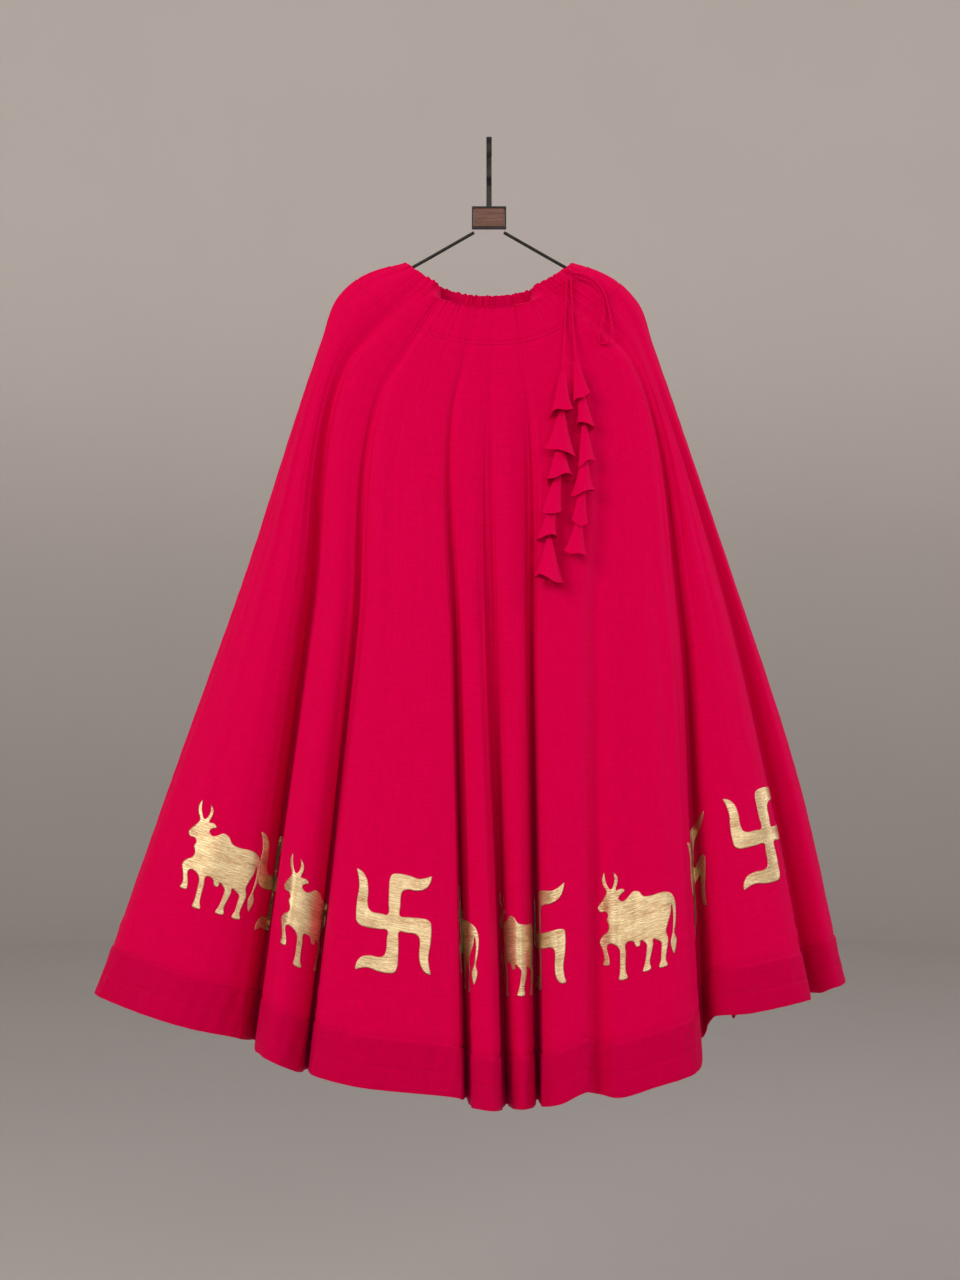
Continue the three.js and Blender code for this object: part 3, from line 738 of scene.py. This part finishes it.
gold_finish, gold_tree, gold_shader = new_finish(
    "gold_zari", Metallic=0.82, Roughness=0.44, Specular_IOR_Level=0.5
)
gold_place = add_node(gold_tree, "ShaderNodeUVMap").outputs["UV"]
# The gold's colour mixes the woven ribs with painted light: painted glints, and broad crinkled
# patches of painted highlight and painted shade. The same mix also raises the relief.
ribs = streaks(gold_tree, gold_place, (60, 620, 1), 2.0)
glints = streaks(gold_tree, gold_place, (240, 900, 1), 2.0)
crinkle_painted_light = streaks(gold_tree, gold_place, (26, 60, 1), 4.0)
ribs_and_painted_glints = blended(gold_tree, 0.4, ribs, glints)
zari_relief_and_painted_light = blended(gold_tree, 0.35, ribs_and_painted_glints, crinkle_painted_light)
gold_colour = two_tones(gold_tree, zari_relief_and_painted_light, (0.50, 0.26, 0.12), (0.95, 0.80, 0.46), 0.36, 0.62)
rim = add_node(gold_tree, "ShaderNodeAttribute", {"attribute_name": "from_edge"})
gold_or_silk = add_node(gold_tree, "ShaderNodeMix", {"data_type": "RGBA"})
share_socket, silk_socket, gold_socket = (gold_or_silk.inputs[k] for k in (0, 6, 7))
gold_tree.links.new(rim.outputs["Fac"], share_socket)
silk_socket.default_value = (0.60, 0.10, 0.13, 1)
gold_tree.links.new(gold_colour, gold_socket)
gold_tree.links.new(gold_or_silk.outputs[2], gold_shader.inputs["Base Color"])
raised(gold_tree, gold_shader, zari_relief_and_painted_light, 0.7, 0.0012)

# The right-facing swastik, one of its four arms: from the inner corner left of the upright arm,
# round its bent tip, to the inner corner right of it. The other three are the same, turned.
SWASTIK_SIZE = (48, 62.5)
SWASTIK_ARM = [
    (-0.16, 0.16), (-0.16, 0.40), (-0.165, 0.66), (-0.155, 0.86), (-0.09, 0.97), (0.06, 1.0),
    (0.34, 0.99), (0.60, 0.95), (0.80, 0.985), (0.94, 1.03), (0.90, 0.86), (0.76, 0.74),
    (0.55, 0.695), (0.34, 0.70), (0.21, 0.66), (0.165, 0.56), (0.16, 0.34),
]
# A zebu cow walking left with one foreleg raised, from the muzzle round by the horns and back.
COW_STRETCH = (1.1, 1.0)
COW = [
    (-48, 21), (-45, 27), (-39, 35), (-36, 41), (-40.5, 49), (-42, 57), (-38.5, 65), (-37, 56),
    (-34, 48), (-30.5, 43.5), (-27, 48), (-25.5, 56), (-27, 64), (-21.5, 57), (-22, 48), (-24, 42),
    (-17, 42.5), (-13, 38.5), (-18, 35.5), (-21, 31), (-16, 27), (-10, 30), (-3, 35), (4, 32.5),
    (9, 25.5), (18, 23), (28, 23), (37, 21.5), (43.5, 17), (47.5, 8), (48.5, -6), (47.5, -20),
    (46, -30), (48.5, -39), (44.5, -54), (40.5, -40), (43, -30), (44.3, -18), (44.6, -6), (43, 4),
    (41.5, -6), (38, -16), (35.5, -25), (38, -35), (36, -47), (34.5, -58), (36.5, -65),
    (26, -65), (28, -57), (29, -46), (29, -36), (24, -32), (20, -29), (20, -35), (18, -44),
    (15.5, -55), (16.5, -63.5), (6.5, -63.5), (9, -55), (11, -44), (11.5, -33), (8.5, -29),
    (5, -26), (3.5, -32), (-1.5, -31.5), (-4, -25), (-11, -23), (-13.5, -26), (-13, -34),
    (-13.5, -45), (-13.5, -57), (-11.5, -65), (-22, -65), (-21, -57), (-20.5, -44), (-21, -30),
    (-24, -25), (-29, -22), (-34, -22), (-36.5, -26), (-35, -33), (-33, -41), (-33.5, -47),
    (-42.5, -47), (-40.5, -40), (-42.5, -30), (-46.5, -19), (-42, -11.5), (-35, -6), (-33.5, 1),
    (-36.5, 7), (-34.5, 13), (-37.5, 17), (-44, 16.5),
]


def rounded_outline(corners, size=(1, 1)):
    """Points a little over two millimetres apart along the smooth closed line through corners."""
    loop = np.array([(x * size[0], z * size[1], 0) for x, z in corners], float)
    wrapped = np.vstack([loop[-3:], loop, loop[:3]])
    fine = through(wrapped, POINTS_PER_CORNER * len(wrapped))[:, :2]
    start = np.linalg.norm(fine - loop[0, :2], axis=1)[: len(fine) // 3].argmin()
    tail = len(fine) // 2
    end = tail + np.linalg.norm(fine[tail:] - loop[0, :2], axis=1).argmin()
    line = fine[start:end]
    run = run_along(line)
    even = np.linspace(0, run[-1], round(run[-1] / OUTLINE_STEP), endpoint=False)
    return np.stack([np.interp(even, run, line[:, k]) for k in range(2)], axis=1)


def whole_swastik():
    """The outline's corners, its one arm turned by quarters about the middle."""
    corners = []
    for quarter in range(4):
        for x, z in SWASTIK_ARM:
            for _ in range(quarter):
                x, z = z, -x
            corners.append((x, z))
    return corners


def inside(points, outline):
    """Whether each point is within the outline."""
    x, z = points[:, 0][:, None], points[:, 1][:, None]
    x1, z1 = outline.T
    x2, z2 = np.roll(outline, -1, axis=0).T
    crosses = (z1 > z) != (z2 > z)
    slope = np.where(z2 == z1, 1, z2 - z1)
    return (crosses & (x < x1 + (z - z1) * (x2 - x1) / slope)).sum(axis=1) % 2 == 1


def gap_to(outline, points):
    """How far each point is from the nearest point of the outline."""
    return np.linalg.norm(points[:, None] - outline[None], axis=2).min(axis=1)


def figure_mesh(outline):
    """A figure's flat points, its triangles, and how far each point is from its edge."""
    ahead = np.roll(outline, -1, axis=0) - np.roll(outline, 1, axis=0)
    normal = np.stack([-ahead[:, 1], ahead[:, 0]], axis=1)
    normal /= np.linalg.norm(normal, axis=1)[:, None]
    if not inside(outline[:1] + 0.3 * normal[:1], outline)[0]:
        normal = -normal
    rim_points = outline + GOLD_EDGE * normal
    clear = gap_to(outline, rim_points) > 0.85 * GOLD_EDGE
    rim_points = rim_points[clear & inside(rim_points, outline)]
    low, high = outline.min(axis=0), outline.max(axis=0)
    xs, zs = np.meshgrid(np.arange(low[0], high[0], GRID), np.arange(low[1], high[1], GRID))
    grid = np.stack([xs.ravel(), zs.ravel()], axis=1)
    grid = grid[inside(grid, outline)]
    grid = grid[gap_to(outline, grid) > 2 * GOLD_EDGE]
    points = np.vstack([outline, rim_points, grid])
    whole = list(range(len(outline)))
    found = delaunay_2d_cdt([tuple(p) for p in points], [], [whole], 1, 1e-5)
    flat = np.array([tuple(p) for p in found[0]])
    from_edge = np.clip(gap_to(outline, flat) / GOLD_EDGE, 0, 1)
    return flat, [tuple(face) for face in found[2]], from_edge


FIGURES = {
    "cow": figure_mesh(rounded_outline(COW, COW_STRETCH)),
    "swastik": figure_mesh(rounded_outline(whole_swastik(), SWASTIK_SIZE)),
}
HALF_FIGURE = 80
ROWS_UNDER = 17
REACH_ACROSS = 150
PLACES_UNDER = 201


def lay_on_cloth(flat, middle, middle_down):
    """Where flat points of a figure lie across and down, with the cloth's own length kept."""
    downs = np.linspace(middle_down - HALF_FIGURE, middle_down + HALF_FIGURE, ROWS_UNDER)
    places = middle + np.linspace(-REACH_ACROSS, REACH_ACROSS, PLACES_UNDER)
    tables = []
    for down in downs:
        row, _ = cloth(places, np.full(len(places), down))
        run = run_along(row)
        tables.append(run - np.interp(middle, places, run))
    at_down = middle_down - flat[:, 1]
    level = np.clip((at_down - downs[0]) / (downs[1] - downs[0]), 0, len(downs) - 1.001)
    by_row = np.array([np.interp(flat[:, 0], table, places) for table in tables])
    lower = level.astype(int)
    columns = np.arange(len(flat))
    share = level - lower
    across = by_row[lower, columns] * (1 - share) + by_row[lower + 1, columns] * share
    return across, at_down


def gold_figure(name, kind, middle, middle_down):
    """One woven figure, a thin ribbed sheet that lies close on the silk."""
    flat, triangles, from_edge = FIGURES[kind]
    across, down = lay_on_cloth(flat, middle, middle_down)
    place, out = cloth(across, down)
    points = place + out * (GOLD_LIFT + GOLD_THICKNESS)
    a, b, c = (points[[face[k] for face in triangles]] for k in range(3))
    facing = (np.cross(b - a, c - a) * out[[face[0] for face in triangles]]).sum(axis=1)
    faces = [f if good > 0 else f[::-1] for f, good in zip(triangles, facing)]
    made = finished_mesh(name, points, faces, gold_finish, sharp=180, grain=flat)
    edge = made.data.attributes.new("from_edge", "FLOAT", "POINT")
    edge.data.foreach_set("value", from_edge.astype(np.float32))
    wall = made.modifiers.new("thread thickness", "SOLIDIFY")
    wall.thickness = GOLD_THICKNESS * MM
    wall.offset = -1
    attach(made, "root")
    return made


# Each figure's middle, across the skirt from its left side and down from its waist.
FRONT_FIGURES = [
    ("cow", 143, 828), ("swastik", 268, 838), ("cow", 412, 850), ("swastik", 634, 834),
    ("cow", 812, 836), ("cow", 1036, 838), ("swastik", 1186, 838), ("cow", 1338, 838),
    ("swastik", 1490, 832), ("swastik", 1652, 814),
]
BACK_MIDDLE_DOWN = 830
BACK_FIGURES = 12
BACK_PITCH = BACK_ROUND / BACK_FIGURES
figures_on = {name: [] for name in panels}
numbered = [(kind, middle, down, "front") for kind, middle, down in FRONT_FIGURES]
for number in range(BACK_FIGURES):
    kind = ("cow", "swastik")[number % 2]
    middle = FRONT_ROUND + (number + 0.5) * BACK_PITCH
    numbered.append((kind, middle, BACK_MIDDLE_DOWN, "back"))
for number, (kind, middle, down, half) in enumerate(numbered, start=1):
    figure = gold_figure(f"gold_{kind}_{number}", kind, middle, down)
    start, end = HALVES[half]
    panel = int((middle - start) / (end - start) * PANELS_PER_SIDE) + 1
    figures_on[f"kali_{half}_{panel}"].append(figure)

# ---- thread stitches ----
# Small stitches of red thread that hold the folded silk under them: one row just under the
# casing's seam, one just under the yoke's, and one along the middle of the hem band.
STITCH_LINES = {
    "casing": CASING_END + 2.2,
    "yoke": YOKE_END + 3.5,
    "hem": LOWER_STITCHES,
}
STITCH_PITCH = 3.6
STITCH_LIFT = 0.15
STITCH_LINE_POINTS = 900
thread_finish, thread_tree, thread_shader = new_finish(
    "red_thread", Roughness=0.5, Specular_IOR_Level=0.2, Specular_Tint=(1, 0.2, 0.4, 1)
)
thread_place = add_node(thread_tree, "ShaderNodeTexCoord").outputs["Object"]
thread_noise = add_node(thread_tree, "ShaderNodeTexNoise", Vector=thread_place, Scale=900.0)
thread_red = two_tones(
    thread_tree, thread_noise.outputs["Fac"], (0.48, 0.001, 0.035), (0.72, 0.004, 0.07)
)
thread_tree.links.new(thread_red, thread_shader.inputs["Base Color"])


def stitch_tree():
    """Stitches laid end to end along the edges of a line."""
    tree = bpy.data.node_groups.new("stitch_row", "GeometryNodeTree")
    sockets = tree.interface
    sockets.new_socket("Line", in_out="INPUT", socket_type="NodeSocketGeometry")
    for name, value in (("Pitch", 0.0036), ("Stitch length", 0.0026), ("Thread width", 0.0006)):
        socket = sockets.new_socket(name, in_out="INPUT", socket_type="NodeSocketFloat")
        socket.default_value = value
    sockets.new_socket("Seed", in_out="INPUT", socket_type="NodeSocketInt").default_value = 3
    sockets.new_socket("Stitches", in_out="OUTPUT", socket_type="NodeSocketGeometry")
    given = tree.nodes.new("NodeGroupInput").outputs
    line = add_node(tree, "GeometryNodeMeshToCurve", Mesh=given["Line"])
    spaced = add_node(tree, "GeometryNodeResampleCurve", {"mode": "LENGTH"}, Curve=line.outputs[0])
    tree.links.new(given["Pitch"], spaced.inputs["Length"])
    half_width = add_node(tree, "ShaderNodeMath", {"operation": "MULTIPLY"})
    tree.links.new(given["Thread width"], half_width.inputs[0])
    half_width.inputs[1].default_value = 0.5
    stitch = add_node(
        tree,
        "GeometryNodeMeshCylinder",
        Vertices=6,
        Radius=half_width.outputs[0],
        Depth=given["Stitch length"],
    )
    tangent = tree.nodes.new("GeometryNodeInputTangent")
    aligned = add_node(
        tree, "FunctionNodeAlignRotationToVector", {"axis": "Z"}, Vector=tangent.outputs[0]
    )
    sizes = add_node(
        tree, "FunctionNodeRandomValue", {"data_type": "FLOAT"}, Seed=given["Seed"]
    )
    sizes.inputs[2].default_value = 0.85
    sizes.inputs[3].default_value = 1.1
    placed = add_node(
        tree,
        "GeometryNodeInstanceOnPoints",
        Points=spaced.outputs[0],
        Instance=stitch.outputs[0],
        Rotation=aligned.outputs[0],
        Scale=sizes.outputs[1],
    )
    real = add_node(tree, "GeometryNodeRealizeInstances", Geometry=placed.outputs[0])
    dyed = add_node(
        tree, "GeometryNodeSetMaterial", Geometry=real.outputs[0], Material=thread_finish
    )
    result = tree.nodes.new("NodeGroupOutput")
    tree.links.new(dyed.outputs[0], result.inputs["Stitches"])
    return tree


stitch_nodes = stitch_tree()
pitch_socket = next(s for s in stitch_nodes.interface.items_tree if s.name == "Pitch").identifier
for line_name, down in STITCH_LINES.items():
    for half, (start, end) in HALVES.items():
        places = np.linspace(start + 1, end - 1, STITCH_LINE_POINTS)
        place, out = cloth(places, np.full(len(places), float(down)))
        points = (place + out * STITCH_LIFT) * MM
        mesh = bpy.data.meshes.new("stitch_line")
        mesh.from_pydata(points.tolist(), [(i, i + 1) for i in range(len(points) - 1)], [])
        line = in_scene("stitch_line", mesh)
        sewing = line.modifiers.new("stitches", "NODES")
        sewing.node_group = stitch_nodes
        sewing[pitch_socket] = STITCH_PITCH * MM
        evaluated = line.evaluated_get(bpy.context.evaluated_depsgraph_get())
        sewn = bpy.data.meshes.new_from_object(evaluated)
        sewn.name = f"{line_name}_stitches_{half}"
        line.modifiers.remove(sewing)
        bpy.data.objects.remove(line)
        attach(in_scene(sewn.name, sewn), "root")

# ---- each kali's cut length ----
# The length of each kali before sewing, in metres, which nothing here uses. A kali tapers towards
# the yoke.
for half, (start, end) in HALVES.items():
    for number in range(PANELS_PER_SIDE):
        name = f"kali_{half}_{number + 1}"
        length = (BAND_TOP - YOKE_END) * MM

# ---- hanger ----
# A near-black steel strip hook, a small steel frame round a brown wooden block, and two wire arms.
# The hook is screwed into the block from below and the arms are pressed into its sides.
RAIL_RADIUS = 13
STRIP = (7, 2.6)
BLOCK = {"width": 45, "height": 28.8, "depth": 10, "frame": 2.4, "top": -89}
ARM_PLACES = [(19.6, -122.6), (107, -172), (170, -204.5)]
ARM_RADIUS = 2.1
ARM_POINTS = 40

steel_finish, steel_tree, steel_shader = new_finish(
    "dark_steel", Metallic=0.85, Roughness=0.42, Specular_IOR_Level=0.4
)
steel_place = add_node(steel_tree, "ShaderNodeTexCoord").outputs["Object"]
steel_noise = add_node(steel_tree, "ShaderNodeTexNoise", Vector=steel_place, Scale=180.0, Detail=5.0)
steel_mottle = steel_noise.outputs["Fac"]
steel_colour = two_tones(steel_tree, steel_mottle, (0.016, 0.014, 0.013), (0.055, 0.048, 0.044))
steel_tree.links.new(steel_colour, steel_shader.inputs["Base Color"])
raised(steel_tree, steel_shader, steel_mottle, 0.2, 0.0004)

wood_finish, wood_tree, wood_shader = new_finish(
    "brown_wood", Roughness=0.5, Specular_IOR_Level=0.35
)
wood_place = add_node(wood_tree, "ShaderNodeTexCoord").outputs["Object"]
rings = streaks(wood_tree, wood_place, (38, 260, 520), 6.0)
pores = streaks(wood_tree, wood_place, (260, 900, 1600), 2.0)
wood_grain = blended(wood_tree, 0.3, rings, pores)
wood_colour = two_tones(
    wood_tree, wood_grain, (0.090, 0.036, 0.022), (0.210, 0.092, 0.062), 0.36, 0.64
)
wood_tree.links.new(wood_colour, wood_shader.inputs["Base Color"])
raised(wood_tree, wood_shader, wood_grain, 0.3, 0.0005)

for name, side in (("left", -1), ("right", 1)):
    arm_line = through([(side * x, 0, z) for x, z in ARM_PLACES], ARM_POINTS)
    arm = round_cord(f"wire_arm_{name}", arm_line, ARM_RADIUS, steel_finish)
    stands_for(arm, f"hanger_arm_{name}")


def bevelled(made, width):
    """Rounds the piece's sharp edges, by a width in millimetres."""
    edges = made.modifiers.new("worn edges", "BEVEL")
    edges.width = width * MM
    edges.segments = 3
    edges.limit_method = "ANGLE"


def bezier(p0, p1, p2, p3, count):
    """Points along the Bezier curve of these four places."""
    t = np.linspace(0, 1, count)[:, None]
    p0, p1, p2, p3 = (np.array(p, float) for p in (p0, p1, p2, p3))
    return (
        (1 - t) ** 3 * p0 + 3 * t * (1 - t) ** 2 * p1 + 3 * t**2 * (1 - t) * p2 + t**3 * p3
    )


lane = RAIL_RADIUS + STRIP[1] / 2
half_turn = np.linspace(0, math.pi, 33)
over_rail = np.stack([lane * np.cos(half_turn), -RAIL_RADIUS + lane * np.sin(half_turn)], axis=1)
strip_line = np.vstack(
    [
        [(0, BLOCK["top"] + 0.3)],
        bezier((0, -64), (0, -54), (lane, -56), (lane, -44), 20),
        over_rail,
        bezier((-lane, -13), (-lane, -20), (-lane - 1, -24), (-lane - 4, -27), 10)[1:],
    ]
)
along = np.gradient(strip_line, axis=0)
along /= np.linalg.norm(along, axis=1)[:, None]
aside = np.stack([-along[:, 1], along[:, 0]], axis=1) * STRIP[1] / 2
hook_points = []
for y_z, off in zip(strip_line, aside):
    for x, sign in ((-1, -1), (1, -1), (1, 1), (-1, 1)):
        y, z = y_z + sign * off
        hook_points.append((x * STRIP[0] / 2, y, z))
last = 4 * (len(strip_line) - 1)
hook_faces = [(3, 2, 1, 0), *ring_faces(len(strip_line), 4)]
hook_faces.append((last, last + 1, last + 2, last + 3))
hook = finished_mesh("strip_hook", hook_points, hook_faces, steel_finish, sharp=40)
bevelled(hook, 0.5)
stands_for(hook, "hanger_hook")

middle_z = BLOCK["top"] - BLOCK["height"] / 2


def block_ring(width, height, depth):
    """The eight corners of a block round the middle of the hanger's own."""
    return [
        (sx * width / 2, sy * depth / 2, middle_z + sz * height / 2)
        for sy in (-1, 1)
        for sx, sz in ((-1, -1), (1, -1), (1, 1), (-1, 1))
    ]


opening = (BLOCK["width"] - 2 * BLOCK["frame"], BLOCK["height"] - 2 * BLOCK["frame"])
frame_points = block_ring(BLOCK["width"], BLOCK["height"], BLOCK["depth"])
frame_points += block_ring(*opening, BLOCK["depth"])
frame_faces = []
for k in range(4):
    n = (k + 1) % 4
    frame_faces.append((k, n, 8 + n, 8 + k))
    frame_faces.append((4 + n, 4 + k, 12 + k, 12 + n))
    frame_faces.append((n, k, 4 + k, 4 + n))
    frame_faces.append((8 + k, 8 + n, 12 + n, 12 + k))
block_frame = finished_mesh("block_frame", frame_points, frame_faces, steel_finish, sharp=40)
bevelled(block_frame, 0.45)
stands_for(block_frame, "hanger_block_frame")

wood_points = block_ring(opening[0] - 0.6, opening[1] - 0.6, BLOCK["depth"] - 1.2)
wood_faces = [(0, 1, 2, 3), (7, 6, 5, 4)]
wood_faces += [((k + 1) % 4, k, 4 + k, 4 + (k + 1) % 4) for k in range(4)]
wood_block = finished_mesh("wood_block", wood_points, wood_faces, wood_finish, sharp=40)
bevelled(wood_block, 0.6)
stands_for(wood_block, "hanger_block_inlay")

# ---- floor and light ----
# A plain pale floor that curves up into a round wall, with painted shade that darkens it towards the
# floor. A large light from the upper left, a soft one from the front and a cooler one from the
# right.
FLOOR_Z = -1750
ROOM_RADIUS = 6500
COVE = 1500
WALL_TOP = 5000
ROOM_SIDES = 96
PAINTED_SHADE_TOP_Z = 1200
SHADE_AT_FLOOR = 0.55
stage_finish, stage_tree, stage_shader = new_finish(
    "pale_plaster_painted_shade", Roughness=0.9, Specular_IOR_Level=0.1
)
stage_place = add_node(stage_tree, "ShaderNodeTexCoord").outputs["Object"]
stage_noise = add_node(stage_tree, "ShaderNodeTexNoise", Vector=stage_place, Scale=1.5)
stage_colour = two_tones(
    stage_tree, stage_noise.outputs["Fac"], (0.82, 0.75, 0.70), (0.86, 0.79, 0.74)
)
# Painted shade: the pale colour darkens smoothly from 1.2 m above the middle down to the floor,
# where it is 0.55 of itself.
stage_height = add_node(stage_tree, "ShaderNodeSeparateXYZ", Vector=stage_place).outputs["Z"]
stage_shade = add_node(
    stage_tree, "ShaderNodeMapRange", {"interpolation_type": "SMOOTHSTEP"}, Value=stage_height
)
stage_shade.inputs["From Min"].default_value = FLOOR_Z * MM
stage_shade.inputs["From Max"].default_value = PAINTED_SHADE_TOP_Z * MM
stage_shade.inputs["To Min"].default_value = SHADE_AT_FLOOR
stage_tone_with_painted_shade = add_node(
    stage_tree, "ShaderNodeVectorMath", {"operation": "SCALE"}, Scale=stage_shade.outputs[0]
)
stage_tree.links.new(stage_colour, stage_tone_with_painted_shade.inputs[0])
stage_tree.links.new(stage_tone_with_painted_shade.outputs[0], stage_shader.inputs["Base Color"])

quarter = np.linspace(0, math.pi / 2, 13)
profile = [(20, FLOOR_Z), (ROOM_RADIUS - COVE, FLOOR_Z)]
profile += [
    (ROOM_RADIUS - COVE + COVE * math.sin(a), FLOOR_Z + COVE - COVE * math.cos(a)) for a in quarter
]
profile.append((ROOM_RADIUS, WALL_TOP))
turns = np.linspace(0, 2 * math.pi, ROOM_SIDES, endpoint=False)
room_points = [(r * math.cos(t), r * math.sin(t), z) for r, z in profile for t in turns]
room_faces = [tuple(range(ROOM_SIDES)), *ring_faces(len(profile), ROOM_SIDES)]
room = finished_mesh("room", room_points, room_faces, stage_finish, sharp=40)


def soft_light(name, place, aim, size, power, colour):
    """A rectangular light, in metres and watts."""
    data = bpy.data.lights.new(name, "AREA")
    data.shape = "RECTANGLE"
    data.size, data.size_y = size
    data.energy = power
    data.color = colour
    made = in_scene(name, data)
    made.location = place
    direction = np.array(aim, float) - np.array(place, float)
    made.rotation_euler = Vector(direction).to_track_quat("-Z", "Y").to_euler()


soft_light("window_left", (-2.6, -2.6, 1.4), (0, 0, -0.7), (2.2, 2.2), 97, (1.0, 0.98, 0.95))
soft_light("front_fill", (0.9, -4.2, 0.6), (0, 0, -0.7), (2.6, 2.0), 46, (1.0, 0.98, 0.97))
soft_light("cool_right", (3.0, -0.6, 0.9), (0, 0, -0.6), (1.6, 2.2), 48, (0.86, 0.90, 1.0))

world = bpy.data.worlds.new("room_light")
world.use_nodes = True
world.node_tree.nodes["Background"].inputs["Color"].default_value = (0.96, 0.97, 1.0, 1)
world.node_tree.nodes["Background"].inputs["Strength"].default_value = 0.51
bpy.context.scene.world = world
bpy.context.scene.view_settings.view_transform = "Standard"
